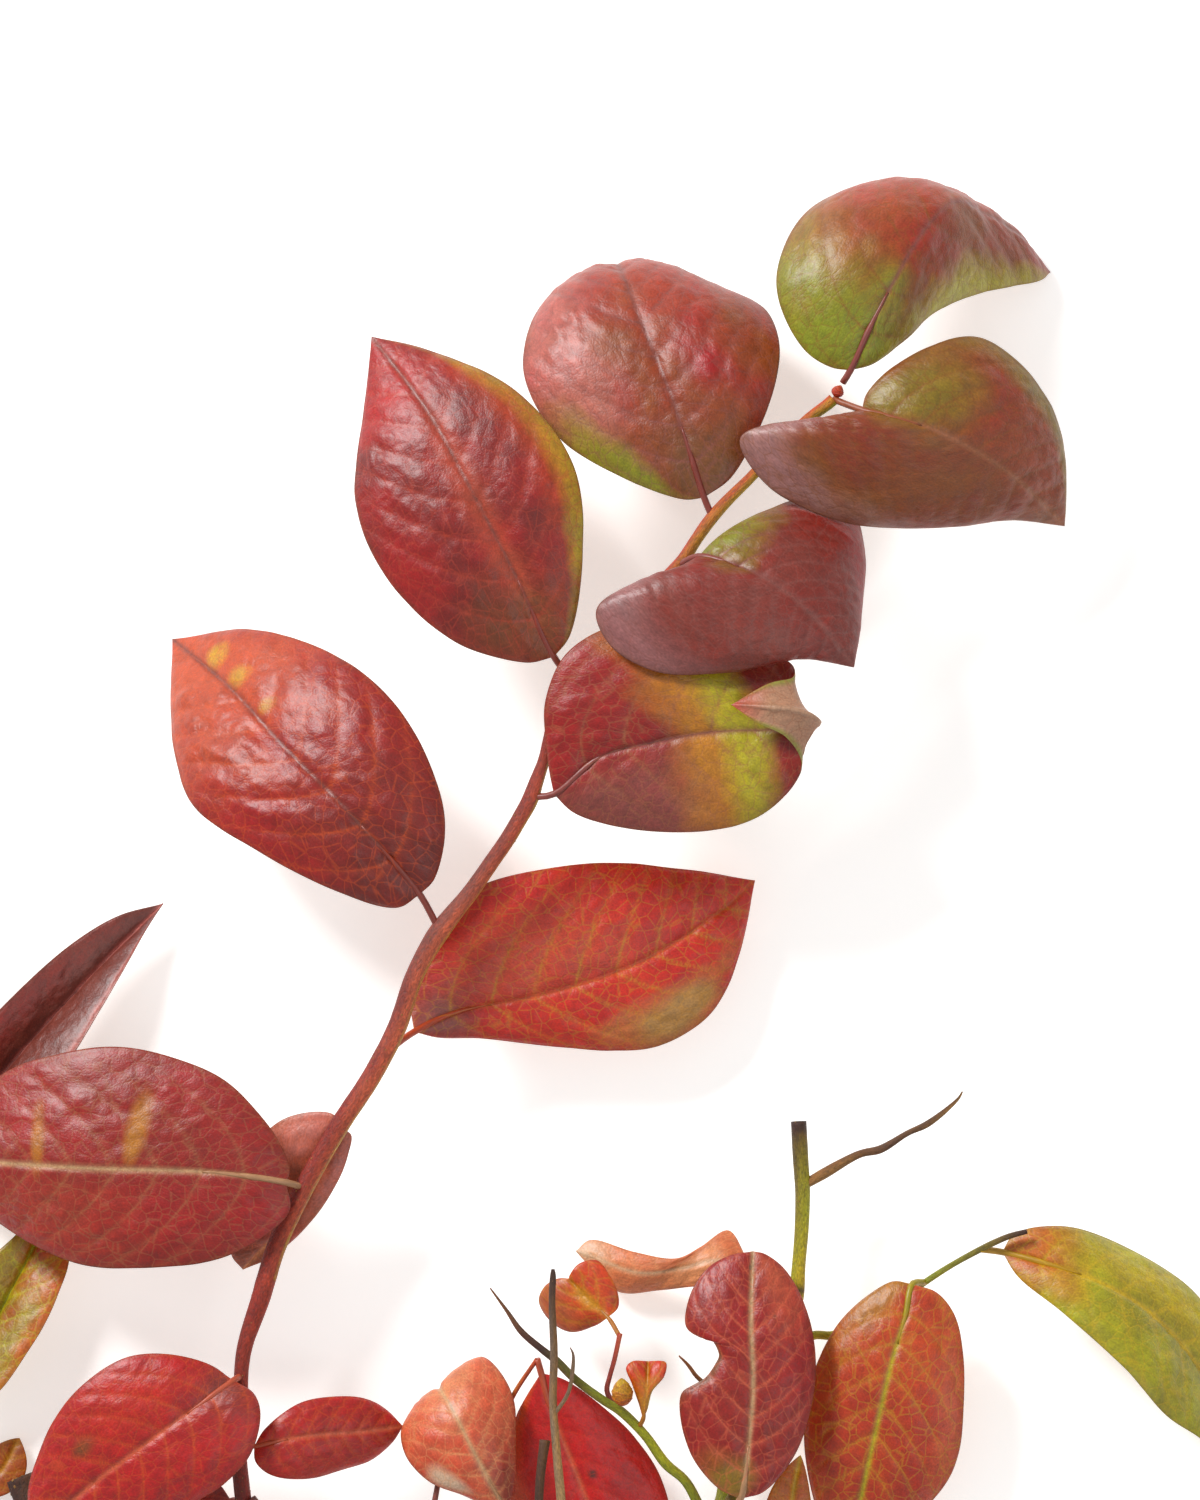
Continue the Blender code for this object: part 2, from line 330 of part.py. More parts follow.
def turn(vector, here, there):
    """Carry a direction from one tangent to the next with the least turning."""
    axis = np.cross(here, there)
    sine = np.linalg.norm(axis)
    if sine > 1e-9:
        axis = axis / sine
        angle = np.arctan2(sine, here @ there)
        vector = (vector * np.cos(angle) + np.cross(axis, vector) * np.sin(angle)
                  + axis * (axis @ vector) * (1 - np.cos(angle)))
    return unit(vector - (vector @ there) * there)


def frames(path, anchor=0):
    """Tangent, right-hand and upward directions, level at the anchor point."""
    tangent = unit(np.gradient(path, axis=0))
    right = np.zeros_like(path)
    right[anchor] = unit(np.cross(tangent[anchor], [0.0, 0.0, 1.0]))
    for i in range(anchor + 1, len(path)):
        right[i] = turn(right[i - 1], tangent[i - 1], tangent[i])
    for i in range(anchor - 1, -1, -1):
        right[i] = turn(right[i + 1], tangent[i + 1], tangent[i])
    return tangent, right, np.cross(right, tangent)


def along(values, share):
    """A value given at the base, middle and tip, read at each share of the length."""
    if np.isscalar(values):
        return np.full_like(share, float(values))
    base, middle, tip = values
    return (base * (1 - share) * (1 - 2 * share) + middle * 4 * share * (1 - share)
            + tip * share * (2 * share - 1))


def half_width(side, share):
    """Half-width: (widest, where along the blade, slant of the base, slant of the tip)."""
    widest, place, base, tip = side
    rise = np.clip(1 - (1 - share / place) ** 2, 0, 1) ** base
    fall = np.clip(1 - ((share - place) / (1 - place)) ** 2, 0, 1) ** tip
    return widest * np.where(share < place, rise, fall)


def read(table, place):
    """Rows of a table at fractional places."""
    low = np.clip(np.floor(place).astype(int), 0, len(table) - 2)
    part = (place - low)[..., None]
    return table[low] * (1 - part) + table[low + 1] * part


class Spine:
    """The line of stalk and midrib, with its directions."""

    def __init__(self, points):
        self.path = smooth_path(points, FINE)
        nearest = np.linalg.norm(self.path - np.array(points[1], float), axis=1)
        self.start = int(np.argmin(nearest))
        self.fore, self.right, self.up = frames(self.path, self.start)

    def at(self, share):
        place = self.start + share * (FINE - 1 - self.start)
        return (read(self.path, place), unit(read(self.fore, place)),
                unit(read(self.right, place)), unit(read(self.up, place)))


def blade(leaf, share, across, spine):
    """Points of the blade's middle surface; across runs from -1 on the left to 1 on the right."""
    rib, fore, side, high = spine.at(share)
    out = np.abs(across)
    result = np.zeros_like(rib)
    for sign, name in ((-1, "left"), (1, "right")):
        if isinstance(leaf[name], list):
            ends = leaf["rib"]
            margin = smooth_path([ends[1]] + leaf[name] + [ends[-1]], FINE)
            reach = read(margin, share * (FINE - 1)) - rib
            normal = unit(np.cross(sign * reach, fore))
            crown = along(leaf.get("crown_" + name, 0.08), share)
            bulge = crown * np.linalg.norm(reach, axis=-1) * 4 * out * (1 - out)
            place = rib + reach * out[..., None] + normal * bulge[..., None]
        else:
            width = half_width(leaf[name], share)
            lift = np.radians(along(leaf.get("lift_" + name, 0.0), share))
            flat = np.cos(lift) * out * width
            rise = np.sin(lift) * out * width
            place = rib + sign * side * flat[..., None] + high * rise[..., None]
        mine = (across < 0) if sign < 0 else (across >= 0)
        result[mine] = place[mine]
    return result


def nearest_on(path, point):
    """Index of the nearest axis sample of a limb."""
    return int(np.argmin(np.linalg.norm(path[:, :3] - point, axis=1)))


def first_clear(path, radii, parent, closer=0.0):
    """Index of the first sample whose round section clears the limb that it grows from."""
    tangent = unit(np.gradient(path, axis=0))
    parent_end = unit(parent[-1, :3] - parent[-2, :3])
    for i, point in enumerate(path):
        near = nearest_on(parent, point)
        toward = parent[near, :3] - point
        away = np.linalg.norm(toward)
        if near == len(parent) - 1:
            ahead = -toward @ parent_end
            beside = np.sqrt(max(0.0, away ** 2 - ahead ** 2)) - parent[near, 3]
            space = np.hypot(ahead, max(0.0, beside))
            toward = -parent_end
        else:
            space = away - FLAT * parent[near, 3]
            toward = toward / max(away, 1e-9)
        reach = radii[i] * np.sqrt(max(0.0, 1 - (tangent[i] @ toward) ** 2))
        if space - reach >= GAP - closer:
            return i
    raise ValueError("nothing of the piece is clear of its limb")


def add_body(name, rings, start, end):
    """A closed body of rings with an end point at each end."""
    count = len(rings[0])
    points = [start] + [point for ring in rings for point in ring] + [end]
    last = len(points) - 1
    faces = []
    for k in range(count):
        nxt = (k + 1) % count
        faces.append((0, 1 + nxt, 1 + k))
        for i in range(len(rings) - 1):
            a, b = 1 + i * count, 1 + (i + 1) * count
            faces.append((a + k, a + nxt, b + nxt))
            faces.append((a + k, b + nxt, b + k))
        a = 1 + (len(rings) - 1) * count
        faces.append((a + k, a + nxt, last))
    places = (np.array(points) + SHIFT) * MM
    mesh = bpy.data.meshes.new(name)
    mesh.from_pydata([tuple(p) for p in places], [], faces)
    mesh.update()
    if signed_volume(mesh) < 0:
        mesh.flip_normals()
    thing = bpy.data.objects.new(name, mesh)
    bpy.context.scene.collection.objects.link(thing)
    mesh.materials.append(finish(name))
    return thing


def signed_volume(mesh):
    total = 0.0
    for face in mesh.polygons:
        a, b, c = (mesh.vertices[i].co for i in face.vertices)
        total += a.dot(b.cross(c)) / 6.0
    return total


def finish(name):
    """The piece's own material."""
    key = COLOUR_OF.get(name, "red" if name.startswith("leaf") else "bark")
    material = bpy.data.materials.new(name + "_finish")
    material.use_nodes = True
    shader = material.node_tree.nodes["Principled BSDF"]
    shader.inputs["Base Color"].default_value = (*COLOURS[key], 1.0)
    shader.inputs["Roughness"].default_value = 0.45 if name.startswith("leaf") else 0.7
    shader.inputs["Metallic"].default_value = 0.0
    return material


def limb_stations(path):
    """Indices along a limb, closer together where it bends."""
    tangent = unit(np.gradient(path[:, :3], axis=0))
    bend = np.concatenate([[0.0], np.linalg.norm(np.diff(tangent, axis=0), axis=1)])
    length = np.linalg.norm(np.diff(path[:, :3], axis=0), axis=1).sum()
    effort = np.cumsum(np.full(len(path), length / len(path) / 14.0) + bend / 0.22)
    count = max(3, int(np.ceil(effort[-1])) + 1)
    return np.interp(np.linspace(effort[0], effort[-1], count), effort, np.arange(len(path)))


def make_limb(name, paths):
    rows = list(LIMBS[name])
    if name in GROWS_FROM:
        parent = paths[GROWS_FROM[name]]
        axis = parent[nearest_on(parent, np.array(rows[0][:3])), :3]
        rows[0] = (*axis, rows[0][3])
    path = smooth_path(rows, FINE)
    if name in GROWS_FROM:
        begin = first_clear(path[:, :3], path[:, 3], paths[GROWS_FROM[name]], CLOSER.get(name, 0.0))
        path = path[begin:]
    paths[name] = path
    tangent, right, up = frames(path[:, :3])
    rings = []
    for place in limb_stations(path):
        row = read(path, np.array(place))
        side = unit(read(right, np.array(place)))
        high = unit(read(up, np.array(place)))
        angles = np.arange(SIDES) * 2 * np.pi / SIDES
        rings.append([row[:3] + row[3] * (np.cos(a) * side + np.sin(a) * high) for a in angles])
    return add_body(name, rings, path[0, :3], path[-1, :3])


def leaf_rings(name, leaf, spine, begin):
    """Closed loops from the stalk's start to the blade's tip, upper face first."""
    thick = THIN_BLADE if name in SMALL_LEAVES else BLADE
    stalk = STALK * (0.7 if name in SMALL_LEAVES else 1.0)
    rings = []
    angles = np.pi * (1 - np.arange(ACROSS) / (ACROSS - 1))
    for place in np.linspace(begin, max(begin + 1, spine.start - 1.5), 3):
        centre = read(spine.path, np.array(place))
        side = unit(read(spine.right, np.array(place)))
        high = unit(read(spine.up, np.array(place)))
        upper = [centre + stalk * (np.cos(a) * side + (np.sin(a) * 0.9 + 0.1) * high) for a in angles]
        lower = [centre + stalk * (np.cos(a) * side - (np.sin(a) * 0.9 + 0.1) * high)
                 for a in angles[::-1]]
        rings.append(upper + lower)
    count = leaf.get("stations", ALONG)
    first = FIRST * (2.6 if name in SMALL_LEAVES else 1.0)
    even = np.linspace(0.0, 1.0, count)
    shares = first + (LAST - first) * (0.6 * even + 0.4 * (0.5 - 0.5 * np.cos(np.pi * even)))
    across = np.sin(np.linspace(-1, 1, ACROSS) * np.pi / 2 * 0.999)
    across = 0.5 * across + 0.5 * np.linspace(-1, 1, ACROSS)
    share, over = np.meshgrid(shares, across, indexing="ij")
    middle = blade(leaf, share, over, spine)
    step = 0.01
    ahead = blade(leaf, np.clip(share + step, 0, 1), over, spine)
    behind = blade(leaf, np.clip(share - step, 0, 1), over, spine)
    inner = over * 0.97
    nudge = 0.02
    rightward = blade(leaf, share, inner + nudge, spine) - blade(leaf, share, inner - nudge, spine)
    normal = unit(np.cross(rightward, ahead - behind))
    for i in range(count):
        half = np.full(ACROSS, thick / 2)
        half[[0, -1]] = thick * 0.25
        upper = [middle[i, j] + normal[i, j] * half[j] for j in range(ACROSS)]
        lower = [middle[i, j] - normal[i, j] * half[j] for j in range(ACROSS)][::-1]
        rings.append(upper + lower)
    return rings


def make_leaf(name, paths):
    leaf = dict(LEAVES[name])
    begin = 0
    stalk = STALK * (0.7 if name in SMALL_LEAVES else 1.0)
    if name in GROWS_FROM:
        parent = paths[GROWS_FROM[name]]
        axis = parent[nearest_on(parent, np.array(leaf["rib"][0])), :3]
        leaf["rib"] = [tuple(axis)] + leaf["rib"][1:]
        path = smooth_path(leaf["rib"], FINE)
        begin = first_clear(path, np.full(FINE, stalk), parent, CLOSER.get(name, 0.0))
    spine = Spine(leaf["rib"])
    if begin > spine.start - 2:
        raise ValueError(name + " has no room for its stalk")
    rings = leaf_rings(name, leaf, spine, begin)
    return add_body(name, rings, spine.path[begin], spine.path[-1])


def make_bud(name, centre, direction, length, radius, rings=5):
    """A pointed egg with its wide end at the start."""
    direction = unit(np.array(direction, float))
    side = unit(np.cross(direction, [0.0, 0.0, 1.0]))
    high = np.cross(side, direction)
    loops = []
    for i in range(rings):
        share = (i + 0.5) / rings
        wide = radius * np.sin(np.pi * share ** 0.8) ** 0.7
        middle = np.array(centre) + direction * length * share
        angles = np.arange(SIDES) * 2 * np.pi / SIDES
        loops.append([middle + wide * (np.cos(a) * side + np.sin(a) * high) for a in angles])
    start = np.array(centre, float)
    return add_body(name, loops, start, start + direction * length)


def main():
    for thing in list(bpy.data.objects):
        bpy.data.objects.remove(thing)
    paths = {}
    for name in LIMBS:
        make_limb(name, paths)
    for name in LEAVES:
        make_leaf(name, paths)
    make_bud("terminal_bud", (46.9, 70.5, 34.5), (0.45, 0.85, 0.1), 2.6, 1.3)
    make_bud("flower_bud", (4.6, -131.2, 21.9), (-0.05, 0.9, 0.36), 6.0, 2.2)


main()
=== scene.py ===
"""Looks of a cut branch of a blueberry bush in autumn leaf, lying on a pale surface.

Each leaf, limb and bud of the frame gets a finely modelled skin that takes its place. Shapes
are worked out in millimetres, and the finished meshes are in metres.
"""
import math

import bmesh
import bpy
import numpy as np
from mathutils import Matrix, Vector

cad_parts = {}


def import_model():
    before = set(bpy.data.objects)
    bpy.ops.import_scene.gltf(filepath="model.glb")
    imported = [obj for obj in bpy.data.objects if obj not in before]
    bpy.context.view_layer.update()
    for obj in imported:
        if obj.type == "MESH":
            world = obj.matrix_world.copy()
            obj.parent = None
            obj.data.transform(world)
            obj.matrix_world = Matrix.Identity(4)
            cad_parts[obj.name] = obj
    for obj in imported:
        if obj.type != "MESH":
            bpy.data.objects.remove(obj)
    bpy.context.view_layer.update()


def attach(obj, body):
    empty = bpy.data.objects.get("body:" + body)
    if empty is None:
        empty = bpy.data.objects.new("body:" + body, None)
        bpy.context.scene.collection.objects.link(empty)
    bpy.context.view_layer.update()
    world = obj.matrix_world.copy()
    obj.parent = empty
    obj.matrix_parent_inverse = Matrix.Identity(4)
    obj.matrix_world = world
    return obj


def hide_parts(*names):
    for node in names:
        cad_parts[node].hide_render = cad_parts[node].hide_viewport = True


MM = 0.001                  # sizes are in millimetres unless their comment says metres
FINE = 200                  # samples on each smooth line
CROWN = 0.08                # bulge of half a blade, as a share of its width
LARGE = (150, 89, 0.18, 0.69)       # leaf: rows, columns, half its thickness, stalk's radius
SMALL = (90, 49, 0.14, 0.483)       # the same of a small leaf
STALK_RINGS = 14
STALK_SIDES = 12
RING_STEP = 0.7             # distance between the rings of a limb
RING_COUNTS = (24, 420)     # its fewest and most rings
STOUT = 2.5                 # radius above which a limb has more sides
STOUT_SIDES = 28
THIN_SIDES = 20
BUD_RINGS = 60
BUD_SIDES = 40
SCALE_ROWS = 4              # a bud's rows of scales, and the scales in a row
SCALES_ROUND = 3
VEIN_LEAN = 0.62            # side veins: how far they lean forward for each millimetre out
VEIN_ARCH = 0.022           # and how much more for its square
VEIN_WIDTH = 0.27
VEIN_STRENGTH = 0.75
VEINS_APART = 3.2           # least distance between side veins
VEIN_PAIRS = 9.0            # pairs of side veins on a blade
HALO_WIDTH = 1.2            # paler strip beside each side vein
HALO_STRENGTH = 0.28
RIB_WIDTH = 0.55
RIB_STRENGTH = 0.85
RIM_WIDTH = 0.03            # darker rim, as a share of half the blade
RIM_STRENGTH = 0.30
PATCH = 9.0                 # patches of a leaf's second tint
WOBBLE = 6.0                # waves in the outline of a spot
BLISTER_RISE = 1.3          # height of the blisters at a puff of 1
FURROW_DEPTH = 0.30         # furrow along the midrib
FURROW_WIDTH = 0.7
WAVE_RISE = 0.55            # slow waves of the blade
WAVE_LENGTH = 14.0
STALK_REACH = 0.22          # share of the blade that its stalk runs on under
NET_SCALE = 0.36            # cells of the fine net to the millimetre
NET_LINE = 0.055            # width of its lines, as a share of a cell
LIGHT_SHARE = 0.70          # the lamps' share that is taken out of the seen tints
RICHNESS = 1.32             # how much purer a tint is than it looks under gloss
WART_SHAPE = (1.0, 0.7, 0.45)
FLOOR = 12.0                # side of the surface, in metres
SHIFT = np.array([12.903, 64.478, -0.02])   # brings the middle of the footprint to the origin
PICTURE_MIDDLE = (0.012903, 0.064478, 0.0)  # point under the camera, in metres
PICTURE_HEIGHT = 0.300      # height of the picture's frame, in metres
PICTURE_LEVEL = 0.025       # level above the surface where that is measured
CAMERA_HEIGHT = 5.0

# Leaves. rib runs stalk start, blade base, then the midrib to the tip.
# left and right are the margins on each side of the way from base to tip, as points or as
# (half-width, where it is widest, slant of the base, slant of the tip).
# A crown is how far a half bulges between rib and margin.
LEAVES = {
    "leaf_crown": dict(
        rib=[(48.45, 73.3, 35.1), (50, 75.8, 36), (53.6, 83.8, 37.4), (59.2, 94.6, 37), (64.8, 103.8, 33),
            (71, 109.6, 25.5), (78, 107, 16), (85, 102.6, 8), (90.4, 96, 0.05)],
        left=[(46, 76.4, 36), (40.4, 80.2, 36), (35.2, 93, 34), (40, 106.2, 28), (51.4, 112.4, 20),
            (63, 112, 12), (75, 107.6, 7)],
        right=[(54.4, 77, 35.4), (59.6, 80.8, 33), (66.6, 87.2, 28), (77, 91.6, 18), (88.6, 94.4, 5)],
        crown_left=(0.06, 0.16, 0.14)),
    "leaf_dusk": dict(
        rib=[(49, 70.5, 34.5), (52.4, 67.8, 38), (57, 66.6, 40.2), (65.6, 64.2, 40.4), (73.6, 60.4, 37),
            (82.2, 55, 30), (93, 45, 15)],
        left=[(53, 70.8, 37.6), (57.4, 75.6, 37), (66, 80.8, 35), (76, 82.4, 31), (86, 75.4, 27),
            (92.2, 64, 22), (93.4, 52, 18)],
        right=[(44, 66, 39.8), (36, 65.4, 39.4), (28, 62.2, 38.5), (34, 52.4, 35), (50, 45.2, 32),
            (68, 44.6, 28), (82, 46, 22)]),
    "leaf_plum": dict(
        rib=[(17.6, 35.5, 34.8), (19.8, 38.6, 38), (29, 36, 42.5), (37, 31.6, 43), (45, 23.8, 40.5),
            (50.6, 16.6, 36)],
        left=[(24, 42.8, 37), (32, 47.4, 33.5), (42, 50, 29), (50.6, 47, 26), (52.6, 38, 28), (52.2, 27, 32)],
        right=[(14.4, 35.4, 39.5), (4.4, 32.2, 41.5), (-0.8, 27.8, 42), (2, 20.8, 42), (12, 15.4, 41.5),
            (26, 15.6, 40.8), (40, 18.2, 39.4)]),
    "leaf_rose": dict(
        rib=[(21.5, 46.8, 33.5), (20.8, 50.4, 33.8), (18, 59.2, 34.5), (13.8, 71.8, 33), (8, 86, 28.5),
            (4.8, 94.6, 22), (3.6, 97.2, 14), (3, 96.5, 5)],
        left=[(16.8, 50, 33), (6.6, 53.4, 32), (-7.8, 62, 29.5), (-15.2, 75, 26), (-13.8, 86, 20),
            (-8.4, 92.6, 13), (-2.5, 95.8, 7.5)],
        right=[(26.2, 54.4, 33.5), (33, 66.8, 32), (36, 79, 29), (33.8, 87.2, 22), (26, 92, 14),
            (12.6, 96, 8)],
        crown_left=(0.06, 0.08, 0.1),
        crown_right=(0.06, 0.1, 0.16)),
    "leaf_crimson": dict(
        rib=[(-7.5, 14.5, 33.5), (-9.2, 18.6, 35), (-16.2, 33.6, 38.5), (-24.8, 50.2, 39.5),
            (-34.2, 67.2, 35), (-45.6, 82.6, 24)],
        left=[(-14.9, 17.4, 34.5), (-30.7, 22.6, 35), (-42.8, 34.6, 35), (-48.7, 49.5, 32.5),
            (-47.2, 68.2, 28)],
        right=[(-6, 22.8, 36.5), (-3.4, 38.6, 38.5), (-5.1, 56.4, 38), (-16.4, 71.2, 34), (-34.7, 80.2, 28)]),
    "leaf_hooked": dict(
        rib=[(-12, -10.5, 32.5), (-9.2, -8.8, 34.4), (0, -1.4, 36.2), (11, 1.6, 37), (22.6, 3.6, 37),
            (33, 4, 37), (41, 4.4, 39), (43.9, 5.4, 42), (40.5, 7.6, 45), (33, 8.6, 45.6), (26.2, 9, 44)],
        left=[(-10.4, -2, 35.6), (-10.8, 10, 37.4), (-6.6, 19.4, 38), (3, 25, 37), (16, 25, 34),
            (28, 21.6, 33.4), (38, 17.4, 35.6), (38.6, 14.6, 40), (33.5, 13.2, 43)],
        right=[(-5, -12.6, 33.4), (6, -15.6, 33), (20, -16.2, 33), (31, -13.6, 34), (38.4, -7.4, 36),
            (40.2, -2.4, 39.8), (37, 2.6, 43.4), (31, 5.6, 44.6)]),
    "leaf_ember": dict(
        rib=[(-33.8, -34.5, 30), (-36, -28.8, 32), (-42, -21.4, 34.5), (-52, -10.4, 36), (-62.6, 0.2, 32),
            (-73.6, 12, 21), (-85.8, 22.2, 3)],
        left=[(-40.6, -31.5, 31.5), (-54.4, -27.6, 33), (-68.3, -20.2, 31.5), (-81.1, -11.3, 26),
            (-85.4, 0.1, 19), (-86, 11, 11)],
        right=[(-33, -25.6, 32.5), (-31, -13.8, 34.5), (-35.7, 1.1, 34.5), (-44.6, 12.9, 31),
            (-57, 20.8, 24.5), (-70, 24, 15.5)]),
    "leaf_coral": dict(
        rib=[(-40.4, -61.5, 24), (-37.2, -56.4, 22), (-29.2, -52.6, 19.5), (-13.4, -49.4, 18),
            (-0.2, -45.8, 17), (12.2, -40.4, 15), (24.8, -31.8, 12), (31, -26.2, 9)],
        left=[(-37.8, -51.3, 21), (-36, -43.4, 21.5), (-31.4, -33.5, 21), (-24.8, -27.6, 20),
            (-8, -23.4, 18), (4.8, -22.6, 16), (16, -23.8, 13)],
        right=[(-32.2, -57.6, 19), (-23.6, -57.8, 17), (-12, -59.2, 15), (2, -60.2, 13.5),
            (12, -59.2, 12.5), (22.4, -52.6, 11.5), (28, -41, 10)]),
    "leaf_garnet": dict(
        rib=[(-59.5, -87.5, 26), (-62.8, -86.4, 29.4), (-77.2, -84.4, 31), (-102.4, -83.6, 29),
            (-120, -82.6, 22), (-136, -81.6, 12)],
        left=[(-62, -91.7, 28.5), (-64.9, -95.5, 29), (-75.1, -101.4, 28.5), (-86.7, -103.2, 27),
            (-104, -102.9, 23), (-120, -94.9, 17)],
        right=[(-62, -84, 28.5), (-64.2, -78.2, 29.5), (-68.7, -72.1, 30), (-75.1, -66, 29.5),
            (-84.1, -61.9, 28.5), (-96.3, -59.4, 26.5), (-108.5, -60.9, 23.5), (-120, -65.1, 19)],
        crown_left=0.04,
        crown_right=0.04),
    "leaf_blush": dict(
        rib=[(-51.5, -73, 24.2), (-52.2, -75.6, 23.4), (-57, -85, 20.4), (-64, -96, 15.4),
            (-71.6, -104.2, 9)],
        left=[(-49.8, -76.9, 23), (-50.4, -80.8, 22), (-52.1, -85.3, 20.6), (-57.2, -93.6, 17),
            (-64.9, -101.3, 12.5)],
        right=[(-53.3, -72.9, 23.6), (-60.4, -72.8, 22.4), (-66, -75.6, 21), (-71.5, -84, 18.5),
            (-74.4, -94, 15), (-73.8, -101.6, 11)]),
    "leaf_scarlet": dict(
        rib=[(-71, -125, 20.5), (-73.4, -126.2, 23.4), (-80.2, -131, 26), (-91.2, -139, 25.5),
            (-104.6, -149.4, 20.5), (-113, -158, 15)],
        left=[(-69.4, -128.5, 24.4), (-67.9, -132.7, 25), (-70, -141, 24.6), (-75.1, -146.8, 23.6),
            (-80.3, -150.3, 22), (-92, -157, 18.6), (-104, -160, 16.5)],
        right=[(-77.7, -123.1, 24), (-86.7, -120.7, 25.5), (-93.1, -121, 25.5), (-98.2, -123.1, 25),
            (-104.6, -128.2, 23.5), (-109.1, -134, 21.5), (-112.6, -141.7, 19), (-114.6, -149.4, 17)]),
    "leaf_spear": dict(
        rib=[(-70.4, -139.8, 18.6), (-69.2, -139.4, 19.4), (-65.5, -138.6, 20.4), (-60.4, -137.6, 20.4),
            (-54, -137, 18.8), (-46.9, -136.5, 15.8), (-39.6, -135.6, 11.6)],
        left=[(-67.4, -136.4, 19.6), (-64.2, -133.5, 19.8), (-59.7, -130.6, 19), (-53, -129.5, 17.2),
            (-46.9, -130.1, 14.6), (-42.4, -132.6, 12.4)],
        right=[(-69, -142.3, 19), (-66.8, -144.6, 19), (-62.3, -146, 18), (-57.2, -146, 16.6),
            (-50.8, -144.1, 14.6), (-45.6, -142.3, 12.8), (-41.5, -138.8, 11.8)]),
    "leaf_violet": dict(
        rib=[(-141, -90, 9), (-138, -86, 8.5), (-126, -72, 8), (-113, -57, 7.5), (-101, -44, 7),
            (-87.7, -30.8, 6)],
        left=[(-139, -77, 10), (-133, -66, 11), (-119.9, -51.5, 12), (-107.2, -39.8, 10), (-97, -33.4, 8)],
        right=[(-129, -85, 12), (-117, -76, 15), (-105.2, -60.3, 14.5), (-100.3, -52.3, 13),
            (-95.5, -44, 11), (-91.3, -36.4, 8)]),
    "leaf_olive": dict(
        rib=[(-138, -142, 5), (-133, -137, 8), (-126, -124, 7.5), (-119, -110, 7), (-113, -98, 6.5),
            (-110, -88, 6)],
        left=[(-136, -128, 9.5), (-132, -114, 10), (-124.5, -104, 9.5), (-116.6, -96.6, 8)],
        right=[(-127, -134, 10), (-119.9, -128.1, 11.5), (-114.8, -120.8, 12), (-111.4, -115.3, 12),
            (-108.6, -109.1, 11.5), (-106.5, -102.5, 10), (-107, -94, 7.6)]),
    "leaf_wine": dict(
        rib=[(-71.6, -151, 16), (-74, -150.6, 12.6), (-79, -156, 11), (-88, -166, 11.8), (-98, -178, 11.6)],
        left=(11, 0.4, 0.5, 0.9),
        right=(12, 0.35, 0.4, 0.9)),
    "leaf_salmon": dict(
        rib=[(-17, -156, 15), (-18.8, -153, 17), (-22, -146.6, 20.5), (-25.6, -139.8, 22),
            (-29, -133, 21.5), (-31.8, -128.4, 17), (-32, -128.4, 11), (-29, -132, 6)],
        left=[(-27.6, -149.2, 18), (-34.2, -146.6, 18), (-39, -141.6, 17.5), (-40, -136.6, 15.5),
            (-37.6, -132, 12), (-34, -130, 8)],
        right=[(-17, -147, 17), (-16.8, -140, 18), (-17, -131.4, 17.5), (-19.4, -125.4, 16),
            (-23.6, -121.6, 13), (-27.6, -125, 8)]),
    "leaf_vermilion": dict(
        rib=[(-11, -122.5, 17), (-11.8, -124.8, 15.4), (-10.2, -131, 14), (-7.2, -138.8, 12),
            (-4, -147, 10), (0, -158, 6.5), (5, -175, 2)],
        left=[(-7.1, -126.2, 14.6), (-0.2, -131.1, 12.4), (7.3, -138.2, 9.6), (12.5, -146.6, 7.2),
            (14.5, -158, 4.6), (12, -168, 2.4)],
        right=[(-14.9, -129.8, 13.6), (-16.9, -133.9, 12), (-18.6, -143.7, 9), (-18.2, -150, 7),
            (-15, -160, 4.4), (-7, -170, 2.4)]),
    "leaf_heart": dict(
        rib=[(4.1, -117.4, 19.6), (1.6, -113.7, 16.6), (-3, -109.6, 15), (-6.2, -106, 14)],
        left=[(-1.2, -115.6, 13.4), (-6, -116.6, 12), (-10, -114.4, 11), (-12.2, -110.6, 11),
            (-11, -107.6, 12), (-8.4, -106, 13)],
        right=[(3.8, -111.6, 14.8), (3.6, -108.6, 15.6), (2, -105.2, 15.6), (-0.6, -102.2, 15.2),
            (-4, -102.8, 15), (-5.8, -104.8, 14.5)]),
    "leaf_peach": dict(
        rib=[(38.5, -108, 12.5), (32, -105.6, 10), (24, -102.4, 10), (16, -104, 9), (8, -105, 9),
            (0, -102.4, 8), (-4.8, -100.6, 6)],
        left=[(27, -108, 9), (20.8, -107.6, 9), (12, -108.4, 6), (4, -108.8, 5), (0, -106, 6)],
        right=[(29.6, -102.2, 9), (25.8, -96.4, 6), (20, -99.8, 8), (15.2, -102, 9), (7, -100.8, 8),
            (-2, -98.4, 6)],
        crown_left=0.02,
        crown_right=0.02),
    "leaf_bitten": dict(
        rib=[(26.5, -153.5, 15), (28.2, -149.8, 20), (29.8, -138.4, 22.5), (30.6, -127.6, 24),
            (30.2, -114.2, 24), (30.6, -100.4, 21)],
        left=[(24.2, -148.2, 20), (19.4, -143, 20.6), (16.4, -135, 21.4), (16.4, -128.8, 22),
            (18.6, -127.2, 22.4), (21.2, -125.6, 22.8), (23.2, -122.9, 23), (24, -121, 23),
            (22.3, -117.7, 23), (20, -117.4, 22.8), (17.2, -115.4, 22), (18, -109, 21.6),
            (21.4, -103.8, 21), (26, -101.2, 21)],
        right=[(32.6, -148.6, 20), (38.6, -141.6, 20.6), (42.4, -131, 21), (43.1, -121, 21),
            (41.4, -112.4, 21), (37.4, -104.4, 21), (33, -100.9, 21)]),
    "leaf_veined": dict(
